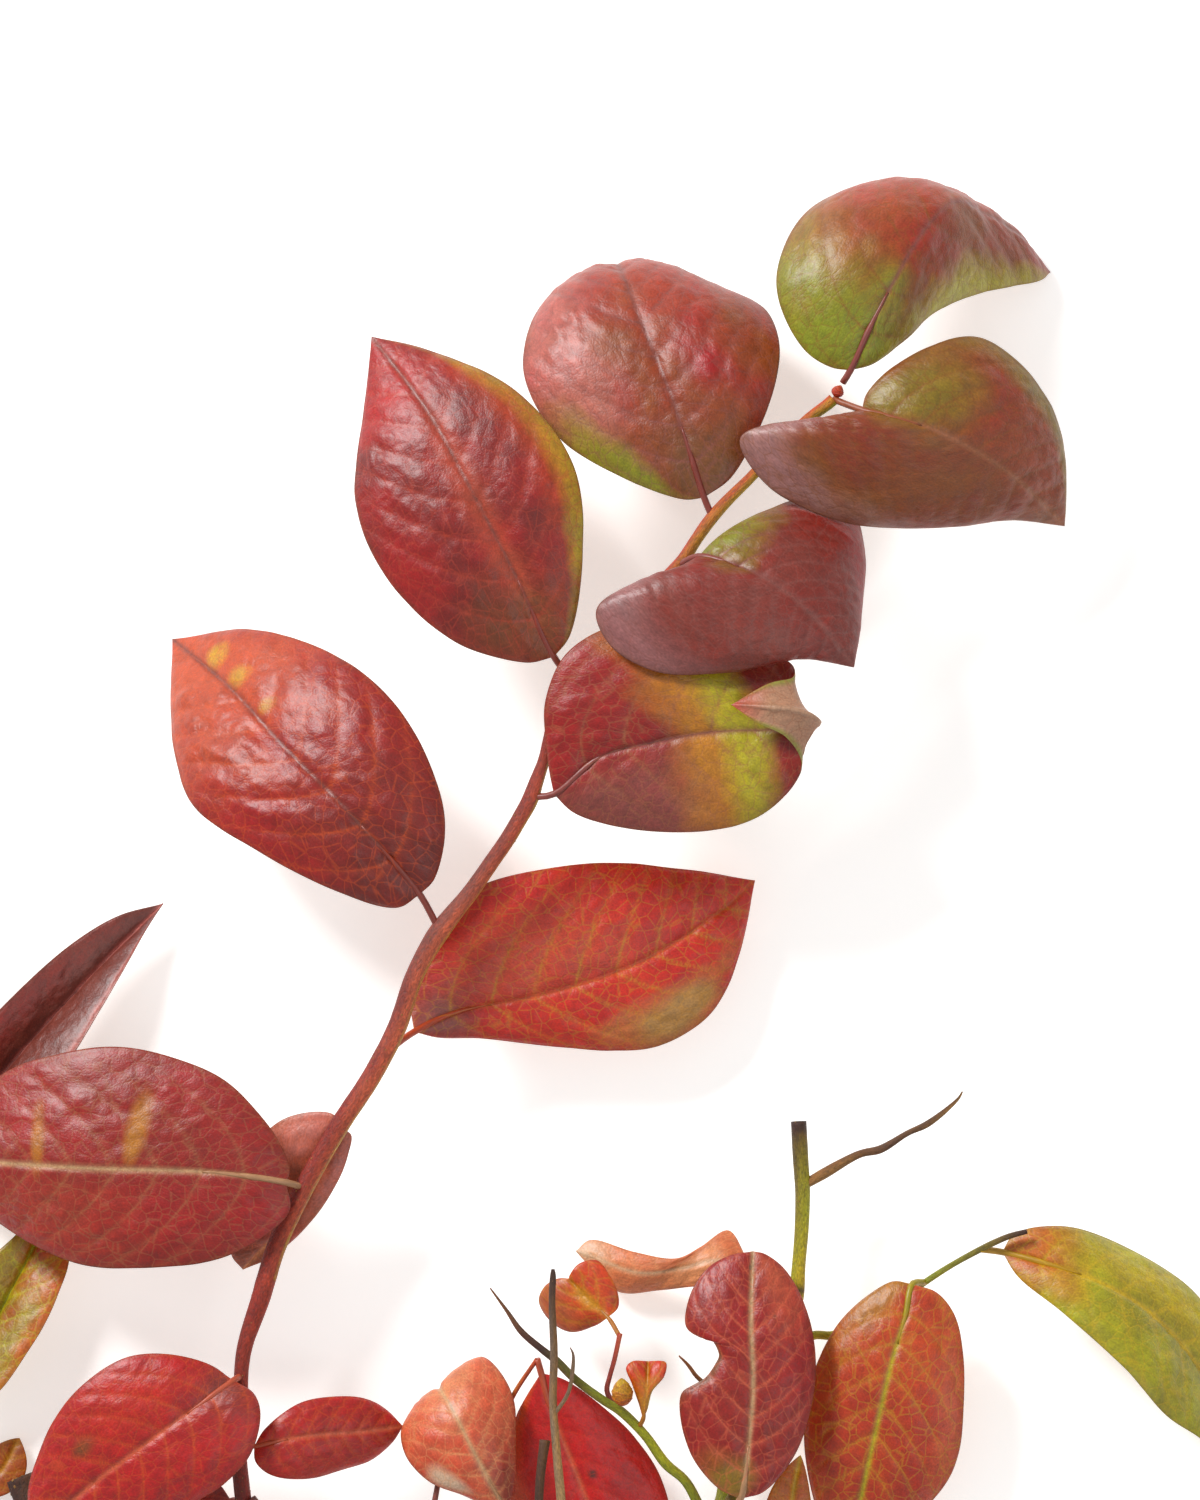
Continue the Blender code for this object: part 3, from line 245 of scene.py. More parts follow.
        rib=[(64.5, -106.3, 14.5), (62.5, -107.1, 16), (61.2, -113.2, 17.5), (58.4, -122.8, 18),
            (55.2, -136.8, 16), (52.4, -149.6, 12), (50, -160, 7)],
        left=[(67.4, -108.7, 16), (70.8, -112.9, 15.5), (72.6, -121, 15.5), (72.8, -131, 15),
            (71.6, -142, 13), (67.4, -150, 10.5), (59, -157.5, 7.5)],
        right=[(58.8, -106.5, 15.5), (53.8, -109.2, 15.5), (48.9, -113.4, 15), (45.8, -117.8, 14.5),
            (41.8, -128, 13), (41, -140, 11), (44, -153, 8)]),
    "leaf_lime": dict(
        rib=[(77, -100.5, 14.5), (80.6, -100.6, 15), (89.8, -103, 17), (96.8, -105.2, 17.5),
            (105, -109.2, 16.5), (111.2, -113.6, 14.5), (120, -123.8, 9.5), (133, -145.5, 0.05)],
        left=[(83, -97, 15), (91.2, -95.4, 14), (100, -97.2, 11), (113.2, -103.8, 7.5), (120, -109.6, 6),
            (129, -124, 2.5)],
        right=[(83.8, -105.6, 17), (92.8, -112.8, 20), (105, -123.8, 21), (113.2, -133.2, 17),
            (120, -137.8, 12), (128, -144, 5)]),
    "leaf_amber": dict(
        rib=[(22, -170, 14), (38.4, -172, 14.6), (38, -162, 12.4), (38.6, -150, 12), (40.2, -141.4, 11)],
        left=(6, 0.5, 0.6, 0.9),
        right=(4.6, 0.5, 0.6, 0.9)),
    "leaf_scoop": dict(
        rib=[(8.2, -135.6, 20.4), (8.6, -134, 21.2), (9.1, -131, 22.4), (9.4, -127, 22.5),
            (9.6, -122.4, 20.5)],
        left=[(7.6, -130.8, 21.8), (6.4, -127, 22), (5.2, -123.6, 22), (6.4, -122.4, 21.5)],
        right=[(9.6, -132, 21.4), (10.6, -128, 22), (12.8, -125.4, 22.5), (13.2, -122.6, 22)]),
    "leaf_orange": dict(
        rib=[(-131, -146, 4), (-126.4, -147.6, 3.2), (-121, -145.4, 3), (-116.6, -138.2, 3)],
        left=(4.6, 0.5, 0.6, 0.9),
        right=(4.6, 0.5, 0.6, 0.9)),
    "leaf_outer": dict(
        rib=[(-142.6, -70, 10.5), (-143, -67, 11), (-146, -50, 12), (-144, -32, 8), (-139, -18, 0.05)],
        left=(13, 0.45, 0.55, 0.9),
        right=(13, 0.45, 0.55, 0.9)),
    "leaf_low": dict(
        rib=[(-48, -176, 14), (-50.6, -182, 12), (-58, -192, 10), (-72, -204, 6), (-84, -214, 0.05)],
        left=(12, 0.45, 0.55, 0.9),
        right=(12, 0.45, 0.55, 0.9)),
    "leaf_last": dict(
        rib=[(18, -168, 13), (26, -170, 10), (38, -184, 8), (52, -197, 5), (62, -208, 0.05)],
        left=(11, 0.45, 0.55, 0.9),
        right=(11, 0.45, 0.55, 0.9)),
}

# Limbs: x, y, height above the surface, radius.
LIMBS = {
    "cane": [(0, -243, 6, 6), (-2, -225, 7.5, 5.6), (-4.4, -206, 10, 5)],
    "left_arm": [(-5.2, -204, 10.6, 3.9), (-30, -190, 13, 3.6), (-54, -172, 15, 3.3), (-67, -157, 16.2, 3),
        (-71.4, -151, 16.6, 2.9)],
    "main_shoot": [(-71.6, -150.2, 16.8, 1.7), (-72.4, -140, 18.2, 1.6), (-72, -130, 19.6, 1.5),
        (-71.7, -123.3, 20.5, 1.5), (-71, -119, 21.1, 1.6), (-68, -110, 22.4, 1.95), (-64.6, -99, 23.8, 2),
        (-59.4, -88, 25.3, 2), (-55.8, -81.4, 26, 2), (-51.4, -74, 26.9, 2), (-46.6, -66.8, 27.6, 2),
        (-43.6, -61.6, 28.2, 2), (-40.4, -55, 28.9, 1.95), (-37.4, -46, 29.8, 1.9),
        (-35.2, -41.4, 30.1, 1.95), (-32.6, -37, 30.4, 2.1), (-29.6, -33, 30.8, 1.9),
        (-26, -28.6, 31.1, 1.7), (-21.4, -22, 31.7, 1.6), (-18.6, -18, 32, 1.6), (-16.2, -14, 32.3, 1.6),
        (-14, -10, 32.6, 1.7), (-12.6, -6, 32.8, 1.45), (-11.2, -2, 33, 1.2), (-9.4, 5, 33.1, 1.3),
        (-6.6, 11.4, 33.2, 1.35), (-1, 19, 33.3, 1.3), (7, 28, 33.4, 1.25), (13, 34.2, 33.5, 1.25),
        (16.6, 38, 33.6, 1.3), (19.2, 42, 33.7, 1.25), (22.2, 46.2, 33.8, 1.3), (25.6, 50, 33.9, 1.2),
        (29.7, 54, 34, 1.1), (32.3, 56.8, 34.1, 1.1), (41.2, 65.8, 34.2, 1.1), (45.6, 69.1, 34.3, 1.2),
        (46.6, 70, 34.4, 1.25)],
    "right_arm": [(-2.6, -203, 11, 3.6), (8, -186, 12.6, 3.2), (17, -168, 13.6, 2.8), (21, -154, 14.2, 2.3)],
    "pruned_shoot": [(25, -160, 14.2, 1.6), (27.6, -149, 15, 1.6), (31.4, -136, 15.4, 1.55),
        (35.6, -123, 15.6, 1.5), (39.2, -110, 15.6, 1.6), (39.8, -103.4, 15.6, 1.4),
        (40.4, -96, 15.6, 1.45), (40.6, -88.4, 15.8, 1.55), (40.2, -82, 16, 1.6), (39.8, -74.4, 16.4, 1.6)],
    "dead_spur": [(42.9, -87.4, 15.6, 0.9), (45, -84.8, 15.4, 1.1), (52, -81, 15, 0.8),
        (56.2, -80, 15, 0.85), (61.6, -76.8, 15.4, 0.6), (65.8, -74.8, 16, 0.7), (71.8, -69.8, 17, 0.3),
        (72.6, -68.4, 17.2, 0.15)],
    "green_stem": [(19, -161, 12, 1.3), (24.4, -150, 10, 1.25), (25, -142, 9.8, 1.2),
        (27.6, -130, 10, 1.15), (36, -120.4, 10, 1), (43, -117.4, 10.4, 0.9), (46.6, -117.4, 10.8, 0.9),
        (54, -114.6, 11.2, 0.8), (61, -109.6, 12.2, 0.7), (67.4, -105.2, 13, 0.65),
        (71.1, -102.9, 13.8, 0.6), (75.4, -100.5, 15.4, 0.65), (79.1, -98.6, 17.2, 0.65),
        (82.2, -97.3, 18, 0.6), (85.5, -96.4, 18.4, 0.5)],
    "green_shoot": [(20, -150.6, 14.6, 1.1), (17.2, -146.6, 16, 1), (13.2, -143, 17.4, 1.05),
        (9, -137.2, 19, 0.95), (4.2, -132.4, 20, 1), (0.4, -130, 20.4, 0.9), (-5.2, -125.8, 20.2, 0.85),
        (-8.8, -122.2, 20, 0.85), (-11.4, -120.2, 19.8, 0.75), (-15.8, -116.4, 19, 0.65),
        (-18.6, -112.4, 18, 0.4), (-22, -107.8, 17, 0.15)],
    "grey_twig": [(-1, -196, 17, 1.3), (-5, -178, 21, 1.1), (-7, -164, 24, 1), (-7.8, -150, 26, 0.95),
        (-8.8, -138.8, 26.5, 0.85), (-9.4, -130.6, 26.5, 0.8), (-9.2, -120.6, 26.5, 0.8),
        (-9.6, -110.4, 26, 0.7), (-9.4, -105, 26, 0.6), (-9.4, -103.8, 26, 0.35)],
    "brown_stub": [(-9.6, -172, 21, 0.9), (-12, -160, 23.5, 0.9), (-12.2, -150, 25, 0.9),
        (-11.8, -144, 25.6, 0.95), (-11, -138, 25.8, 1.1)],
    "grey_spur": [(-8, -132.8, 27, 0.45), (-6.4, -128.6, 27.6, 0.4), (-5.4, -123.4, 28, 0.4),
        (-5.4, -120.6, 28, 0.25), (-6, -119.4, 28, 0.1)],
    "left_stub": [(-60, -178, 9.5, 3.2), (-80, -178, 8, 3.1), (-102, -166, 7.2, 3), (-114, -152, 7, 2.9),
        (-116.6, -146, 7, 2.8)],
    "left_shoot": [(-117.5, -158, 5.5, 1.6), (-128, -153, 4.4, 1.5), (-139, -138, 3.4, 1.4),
        (-144, -116, 3, 1.3), (-145, -90, 3, 1.2), (-144, -72, 4, 1)],
    "thin_stem": [(-11, -166, 20, 0.7), (-18, -158, 15, 0.65), (-20.6, -148, 13.4, 0.6),
        (-21, -138, 13, 0.55), (-17.4, -129.4, 14.5, 0.5), (-12.6, -122, 16.5, 0.45)],
    "red_stalk": [(-35.6, -186, 16.4, 0.9), (-34.6, -160, 15, 0.7), (-32.4, -146.4, 14, 0.55)],
    "bud_stalk": [(3.9, -131.2, 20, 0.6), (1.4, -128.4, 20, 0.55), (1.9, -125.6, 20, 0.5),
        (2.8, -122.4, 20, 0.5), (3.6, -118.8, 19.8, 0.5), (4, -116.8, 19.6, 0.55)],
    "split_spur": [(22, -129, 14, 0.5), (19.6, -125.8, 14.2, 0.45), (17.6, -123.2, 14.4, 0.35),
        (15.8, -121.4, 14.6, 0.15)],
}

# What grows from each limb.
GROWN = {
    "cane": "left_arm",
    "left_arm": "right_arm main_shoot left_stub red_stalk leaf_low",
    "left_stub": "left_shoot",
    "right_arm": "pruned_shoot green_stem green_shoot grey_twig leaf_amber leaf_last",
    "pruned_shoot": "dead_spur leaf_peach leaf_bitten",
    "grey_twig": "brown_stub grey_spur",
    "brown_stub": "thin_stem",
    "green_shoot": "bud_stalk leaf_scoop",
    "green_stem": "split_spur leaf_veined leaf_lime",
    "main_shoot": "leaf_dusk leaf_plum leaf_rose leaf_crimson leaf_hooked leaf_ember leaf_coral "
                  "leaf_garnet leaf_blush leaf_scarlet leaf_spear leaf_wine",
    "left_shoot": "leaf_violet leaf_olive leaf_orange leaf_outer",
    "thin_stem": "leaf_salmon leaf_vermilion",
    "bud_stalk": "leaf_heart",
}
PARENT = {name: limb for limb, names in GROWN.items() for name in names.split()}

SMALL_LEAVES = {"leaf_amber", "leaf_blush", "leaf_heart", "leaf_orange", "leaf_peach", "leaf_salmon",
                "leaf_scoop", "leaf_spear"}

SHADES = {                  # tints, as seen in daylight
    "crimson": "9a2f27", "scarlet": "b62c25", "vermilion": "c6241b", "wine": "6c2320", "garnet": "85322c",
    "maroon": "5e2721", "mauve": "88544e", "plum": "7b463e", "rose": "ab4f42", "dusty": "a06a50",
    "brown": "865231", "umber": "6b482b", "olive": "857838", "green": "889036", "lime": "b4b13e",
    "yellow": "cfae4e", "gold": "c08a3e", "orange": "c45f2d", "ember": "b0442a", "coral": "cb4d3b",
    "salmon": "ce735d", "peach": "e2a27c", "pink": "d78f88", "pale": "d9ba9d", "cream": "e7d4bb",
    "lilac": "b99a9c", "khaki": "b1955f", "grey": "8f7c69", "tan": "b0895c", "dark": "3c2119",
    "beige": "c9ab88", "bark": "5d4233",
}


def look(main, second, vein, rib, puff, *spots, under="pale", net=0.42):
    """How a leaf looks: tints, height of its blisters in mm, and spots of other tints."""
    return dict(main=main, second=second, vein=vein, rib=rib, puff=puff, spots=spots,
                under=under, net=net)


# A spot is (share, across, reach along, reach across, tint, strength). Most spots are the leaf's own colour;
# a few are painted sheen and painted highlights.
LOOKS = {
    "leaf_crown": look("brown", "crimson", "brown", "mauve", 0.3, (0.08, 0, 0.2, 1.3, "green", 0.9),
        (0.55, 0.95, 0.38, 0.35, "lime", 0.8), (0.22, -0.8, 0.18, 0.5, "green", 0.7),
        (0.6, -0.4, 0.3, 0.5, "rose", 0.5)),
    # leaf_dusk: the lilac spot along its lower margin is a painted sheen, not the leaf's own colour
    "leaf_dusk": look("brown", "garnet", "brown", "dusty", 0.3, (0.3, 0.92, 0.26, 0.2, "lilac", 0.5),
        (0.6, -0.4, 0.3, 0.5, "rose", 0.4), (0.15, -0.4, 0.25, 0.5, "olive", 0.8),
        (0.7, -0.95, 0.4, 0.2, "olive", 0.7)),
    "leaf_plum": look("garnet", "plum", "mauve", "mauve", 0.3, (0.1, -0.6, 0.18, 0.7, "green", 0.8),
        (0.7, -0.92, 0.35, 0.2, "crimson", 0.7), (0.3, 0.92, 0.3, 0.2, "lilac", 0.35)),
    # leaf_rose: the pink spot on its left half is a painted sheen, not the leaf's own colour
    "leaf_rose": look("crimson", "brown", "mauve", "plum", 0.34, (0.55, -0.75, 0.3, 0.4, "pink", 0.4),
        (0.07, 0, 0.16, 1.3, "umber", 0.85), (0.22, -0.95, 0.18, 0.25, "green", 0.8),
        (0.8, 0.3, 0.2, 0.6, "rose", 0.6)),
    # leaf_crimson: the salmon strip along its midrib is a painted highlight on the blisters there
    "leaf_crimson": look("crimson", "maroon", "rose", "plum", 0.42, (0.45, 0.93, 0.4, 0.15, "lime", 0.6),
        (0.6, 0.8, 0.3, 0.2, "orange", 0.4), (0.06, 0, 0.18, 1.3, "umber", 0.7),
        (0.45, 0, 0.4, 0.14, "salmon", 0.35), (0.9, -0.2, 0.2, 0.8, "scarlet", 0.6)),
    "leaf_hooked": look("garnet", "crimson", "dusty", "mauve", 0.34,
        (0.12, -0.6, 0.25, 0.6, "crimson", 0.8), (0.25, 0.7, 0.25, 0.5, "mauve", 0.7),
        (0.46, 0, 0.1, 1.3, "gold", 0.8), (0.54, 0, 0.07, 1.3, "lime", 0.8)),
    "leaf_ember": look("crimson", "garnet", "orange", "plum", 0.46, (0.88, 0, 0.34, 1.3, "orange", 0.8),
        (0.06, 0, 0.24, 1.3, "maroon", 0.7), (0.82, 0.3, 0.03, 0.25, "yellow", 0.7),
        (0.72, 0.2, 0.025, 0.18, "yellow", 0.6), (0.6, 0.15, 0.015, 0.1, "yellow", 0.5)),
    # leaf_coral: the khaki patch on its lower half and the mauve patch at its base are painted sheen, not the
    # leaf's own colour
    "leaf_coral": look("scarlet", "coral", "gold", "orange", 0.38, (0.62, 0.72, 0.16, 0.3, "khaki", 0.8),
        (0.05, 0, 0.12, 1.2, "mauve", 0.8), (0.4, -0.3, 0.25, 0.4, "salmon", 0.35)),
    "leaf_garnet": look("crimson", "garnet", "dusty", "beige", 0.36, (0.41, 0.3, 0.022, 0.3, "gold", 0.7),
        (0.65, 0.22, 0.016, 0.3, "gold", 0.6), (0.3, -0.4, 0.2, 0.4, "crimson", 0.5),
        (0.6, -0.5, 0.2, 0.4, "rose", 0.4)),
    "leaf_blush": look("rose", "dusty", "salmon", "peach", 0.25, (0.3, 0.7, 0.4, 0.4, "pink", 0.6),
        (0.2, -0.7, 0.3, 0.4, "pink", 0.8), (0.85, 0.5, 0.2, 0.5, "maroon", 0.5)),
    "leaf_scarlet": look("scarlet", "crimson", "orange", "salmon", 0.3, (0.03, 0, 0.14, 1.3, "plum", 0.75),
        (0.6, 0.45, 0.05, 0.12, "umber", 0.9), (0.4, 0.5, 0.2, 0.4, "coral", 0.4)),
    "leaf_spear": look("scarlet", "crimson", "orange", "salmon", 0.2, (0.5, 0.9, 0.4, 0.3, "coral", 0.5)),
    "leaf_violet": look("plum", "maroon", "plum", "pink", 0.24, (0.6, 0.96, 0.5, 0.1, "pink", 0.6),
        (0.4, -0.7, 0.4, 0.4, "crimson", 0.4)),
    "leaf_olive": look("olive", "gold", "lime", "lime", 0.24, (0.85, 0.5, 0.2, 0.9, "scarlet", 0.85),
        (0.55, 0.95, 0.4, 0.22, "orange", 0.7), (0.5, 0.3, 0.06, 0.2, "crimson", 0.6)),
    "leaf_wine": look("wine", "crimson", "rose", "rose", 0.2),
    "leaf_salmon": look("salmon", "coral", "peach", "beige", 0.24, (0.3, -0.75, 0.09, 0.18, "cream", 0.8),
        (0.15, 0.4, 0.2, 0.6, "garnet", 0.75), (0.8, 0, 0.25, 1.2, "peach", 0.5)),
    "leaf_vermilion": look("vermilion", "scarlet", "coral", "salmon", 0.2,
        (0.35, 0.95, 0.5, 0.2, "orange", 0.8), (0.42, -0.2, 0.015, 0.06, "dark", 0.9)),
    "leaf_heart": look("coral", "orange", "gold", "gold", 0.14, (0.5, 0, 0.4, 0.2, "yellow", 0.6),
        (0.6, -0.8, 0.4, 0.4, "dusty", 0.6)),
    "leaf_peach": look("salmon", "peach", "peach", "pale", 0.16, (0.35, -0.3, 0.2, 0.8, "peach", 0.8),
        (0.95, 0, 0.15, 1.2, "cream", 0.6), (0.1, 0.5, 0.15, 0.8, "orange", 0.5)),
    "leaf_bitten": look("crimson", "garnet", "salmon", "beige", 0.3, (0.07, -0.4, 0.12, 0.7, "olive", 0.75),
        (0.72, 0.4, 0.012, 0.04, "dark", 0.9), (0.93, -0.1, 0.012, 0.05, "dark", 0.9),
        (0.85, 0.6, 0.2, 0.4, "salmon", 0.5), (0.5, -0.97, 0.12, 0.12, "umber", 0.8)),
    "leaf_veined": look("ember", "orange", "gold", "lime", 0.3, (0.12, 0.8, 0.2, 0.4, "green", 0.4),
        (0.6, 0, 0.3, 0.8, "crimson", 0.4), (0.3, -0.9, 0.4, 0.2, "salmon", 0.5), net=0.57),
    "leaf_lime": look("lime", "olive", "yellow", "yellow", 0.24, (0.06, 0, 0.14, 1.3, "orange", 0.8),
        (0.2, 0.5, 0.08, 0.3, "gold", 0.6), (0.5, -0.5, 0.3, 0.4, "yellow", 0.4)),
    "leaf_amber": look("orange", "gold", "gold", "yellow", 0.12, (0.7, 0.5, 0.3, 0.5, "salmon", 0.6)),
    "leaf_scoop": look("coral", "orange", "gold", "gold", 0.12, (0.15, 0, 0.35, 1.3, "gold", 0.85),
        (0.3, 0.7, 0.25, 0.4, "lime", 0.6), (0.95, 0, 0.2, 1.3, "scarlet", 0.7)),
    "leaf_orange": look("orange", "brown", "gold", "gold", 0.12),
    "leaf_outer": look("crimson", "rose", "dusty", "rose", 0.24),
    "leaf_low": look("scarlet", "ember", "orange", "salmon", 0.24),
    "leaf_last": look("rose", "crimson", "dusty", "pink", 0.24),
}

# Looks of the limbs: tints from start to end on the shady and on the sunny side, and how
# rough the bark is.
BARK = {
    "cane": ("bark umber bark", "grey bark grey", 0.3),
    "left_arm": ("bark bark maroon", "grey umber plum", 0.22),
    "main_shoot": ("maroon garnet garnet plum garnet rose orange",
        "garnet rose salmon salmon rose gold lime", 0.1),
    "right_arm": ("bark bark umber", "grey umber brown", 0.22),
    "pruned_shoot": ("umber olive gold lime olive dark", "brown lime yellow yellow lime umber", 0.07),
    "dead_spur": ("brown bark umber", "tan umber tan", 0.14),
    "green_stem": ("olive green lime green umber", "green lime yellow lime umber", 0.06),
    "green_shoot": ("green green olive dark brown", "olive lime green dark umber", 0.07),
    "grey_twig": ("tan tan grey dark", "beige beige tan dark", 0.14),
    "brown_stub": ("bark dark bark", "umber bark umber", 0.14),
    "grey_spur": ("grey bark", "tan grey", 0.06),
    "left_stub": ("bark bark dark", "umber grey bark", 0.26),
    "left_shoot": ("bark plum garnet", "umber mauve rose", 0.1),
    "thin_stem": ("olive lime gold orange", "green yellow orange ember", 0.04),
    "red_stalk": ("garnet plum", "rose mauve", 0.04),
    "bud_stalk": ("plum garnet rose", "mauve rose salmon", 0.04),
    "split_spur": ("bark brown", "tan brown", 0.05),
}
# How many warts to the square metre, and half the width of the widest in metres.
WARTS = {
    "cane": (70000, 0.0005), "left_arm": (70000, 0.0004), "right_arm": (70000, 0.0004),
    "left_stub": (70000, 0.0004), "main_shoot": (50000, 0.00022), "pruned_shoot": (60000, 0.0002),
    "grey_twig": (90000, 0.00018), "dead_spur": (90000, 0.00016), "green_shoot": (60000, 0.00014),
}
# Buds: start, direction, length, radius, and the tints of base and tip.
BUDS = {
    "terminal_bud": ((46.9, 70.5, 34.5), (0.45, 0.85, 0.1), 2.6, 1.3, "ember", "orange"),
    "flower_bud": ((4.6, -131.2, 21.9), (-0.05, 0.9, 0.36), 6, 2.2, "orange", "yellow"),
}

def unit(vector):
    """The vector at a length of one."""
    length = np.linalg.norm(vector, axis=-1, keepdims=True)
    return vector / np.maximum(length, 1e-12)


def smooth_path(points, count):
    """Evenly spaced points on a smooth curve through the given ones, and any extra columns."""
    points = np.array(points, float)
    chain = np.vstack([2 * points[0] - points[1], points, 2 * points[-1] - points[-2]])
    steps = np.sqrt(np.linalg.norm(np.diff(chain[:, :3], axis=0), axis=1))
    knots = np.concatenate([[0.0], np.cumsum(steps)])
    fine = []
    for i in range(1, len(chain) - 2):
        t0, t1, t2, t3 = knots[i - 1:i + 3]
        p0, p1, p2, p3 = chain[i - 1:i + 3]
        t = np.linspace(t1, t2, 24, endpoint=False)[:, None]
        a1 = (t1 - t) / (t1 - t0) * p0 + (t - t0) / (t1 - t0) * p1
        a2 = (t2 - t) / (t2 - t1) * p1 + (t - t1) / (t2 - t1) * p2
        a3 = (t3 - t) / (t3 - t2) * p2 + (t - t2) / (t3 - t2) * p3
        b1 = (t2 - t) / (t2 - t0) * a1 + (t - t0) / (t2 - t0) * a2
        b2 = (t3 - t) / (t3 - t1) * a2 + (t - t1) / (t3 - t1) * a3
        fine.append((t2 - t) / (t2 - t1) * b1 + (t - t1) / (t2 - t1) * b2)
    fine = np.vstack(fine + [points[-1:]])
    run = np.concatenate([[0.0], np.cumsum(np.linalg.norm(np.diff(fine[:, :3], axis=0), axis=1))])
    even = np.linspace(0.0, run[-1], count)
    return np.column_stack([np.interp(even, run, fine[:, k]) for k in range(points.shape[1])])


def turn(vector, here, there):
    """Carry a direction from one tangent to the next with the least turning."""
    axis = np.cross(here, there)
    sine = np.linalg.norm(axis)
    if sine > 1e-9:
        axis = axis / sine
        angle = np.arctan2(sine, here @ there)
        vector = (vector * np.cos(angle) + np.cross(axis, vector) * np.sin(angle)
                  + axis * (axis @ vector) * (1 - np.cos(angle)))
    return unit(vector - (vector @ there) * there)


def frames(path, anchor=0):
    """Tangent, right-hand and upward directions, level at the anchor point."""
    tangent = unit(np.gradient(path, axis=0))
    right = np.zeros_like(path)
    right[anchor] = unit(np.cross(tangent[anchor], [0.0, 0.0, 1.0]))
    for i in range(anchor + 1, len(path)):
        right[i] = turn(right[i - 1], tangent[i - 1], tangent[i])
    for i in range(anchor - 1, -1, -1):
        right[i] = turn(right[i + 1], tangent[i + 1], tangent[i])
    return tangent, right, np.cross(right, tangent)


def along(values, share):
    """A value given at the base, middle and tip, read at each share of the length."""
    if np.isscalar(values):
        return np.full_like(share, float(values))
    base, middle, tip = values
    return (base * (1 - share) * (1 - 2 * share) + middle * 4 * share * (1 - share)
            + tip * share * (2 * share - 1))


def half_width(side, share):
    """Half-width: (widest, where along the blade, slant of the base, slant of the tip)."""
    widest, place, base, tip = side
    rise = np.clip(1 - (1 - share / place) ** 2, 0, 1) ** base
    fall = np.clip(1 - ((share - place) / (1 - place)) ** 2, 0, 1) ** tip
    return widest * np.where(share < place, rise, fall)


def read(table, place):
    """Rows of a table at fractional places."""
    low = np.clip(np.floor(place).astype(int), 0, len(table) - 2)
    part = (place - low)[..., None]
    return table[low] * (1 - part) + table[low + 1] * part


class Spine:
    """The line of stalk and midrib, with its directions."""

    def __init__(self, points):
        self.path = smooth_path(points, FINE)
        nearest = np.linalg.norm(self.path - np.array(points[1], float), axis=1)
        self.start = int(np.argmin(nearest))
        self.fore, self.right, self.up = frames(self.path, self.start)

    def at(self, share):
        """Point, forward and right-hand direction at each share of the blade's length."""
        place = self.start + share * (FINE - 1 - self.start)
        return read(self.path, place), unit(read(self.fore, place)), unit(read(self.right, place))


def blade(leaf, share, across, spine):
    """Points of the blade's middle surface; across runs from -1 on the left to 1 on the right."""
    rib, fore, side = spine.at(share)
    out = np.abs(across)
    result = np.zeros_like(rib)
    for sign, name in ((-1, "left"), (1, "right")):
        if isinstance(leaf[name], list):
            ends = leaf["rib"]
            margin = smooth_path([ends[1]] + leaf[name] + [ends[-1]], FINE)
            reach = read(margin, share * (FINE - 1)) - rib
            normal = unit(np.cross(sign * reach, fore))
            crown = along(leaf.get("crown_" + name, CROWN), share)
            bulge = crown * np.linalg.norm(reach, axis=-1) * 4 * out * (1 - out)
            place = rib + reach * out[..., None] + normal * bulge[..., None]
        else:
            flat = out * half_width(leaf[name], share)
            place = rib + sign * side * flat[..., None]
        mine = (across < 0) if sign < 0 else (across >= 0)
        result[mine] = place[mine]
    return result


def seated(rows, parent):
    """The rows, with the first moved onto the axis of the limb that they grow from."""
    nearest = int(np.argmin(np.linalg.norm(parent[:, :3] - np.array(rows[0][:3]), axis=1)))
    return [(*parent[nearest, :3], *rows[0][3:])] + rows[1:]


def tint(name):
    """Linear colour of a named shade."""
    raw = np.array([int(SHADES[name][i:i + 2], 16) for i in (0, 2, 4)]) / 255.0
    line = np.where(raw <= 0.04045, raw / 12.92, ((raw + 0.055) / 1.055) ** 2.4)
    return np.clip(line.mean() + (line - line.mean()) * RICHNESS, 0.002, 1.0) * LIGHT_SHARE


def hashed(cells, seed):
    """A repeatable number from 0 to 1 for each whole-number cell."""
    mixed = cells[..., 0] * 127.1 + cells[..., 1] * 311.7 + seed * 74.7
    value = np.sin(mixed) * 43758.5453
    return value - np.floor(value)


def noise(x, y, seed):
    """Smooth value noise from 0 to 1."""
    xi, yi = np.floor(x), np.floor(y)
    fx, fy = x - xi, y - yi
    fx, fy = fx * fx * (3 - 2 * fx), fy * fy * (3 - 2 * fy)
    corner = [hashed(np.stack([xi + a, yi + b], -1), seed) for a in (0, 1) for b in (0, 1)]
    low = corner[0] * (1 - fy) + corner[1] * fy
    high = corner[2] * (1 - fy) + corner[3] * fy
    return low * (1 - fx) + high * fx


def cloud(x, y, seed):
    """Three octaves of noise, from about -1 to 1."""
    total = sum(noise(x * 2 ** k, y * 2 ** k, seed + 3 * k) / 2 ** k for k in range(3))
    return (total / 1.75 - 0.5) * 2.4


def blend(base, colour, share):
    """The base, with a share of the colour laid over it."""
    share = np.clip(share, 0.0, 1.0)[..., None]
    return base * (1 - share) + colour * share


def capped(rows):
    """Rows of a tube, with the first and the last row doubled for its two end points."""
    return np.concatenate([rows[:1], rows, rows[-1:]])


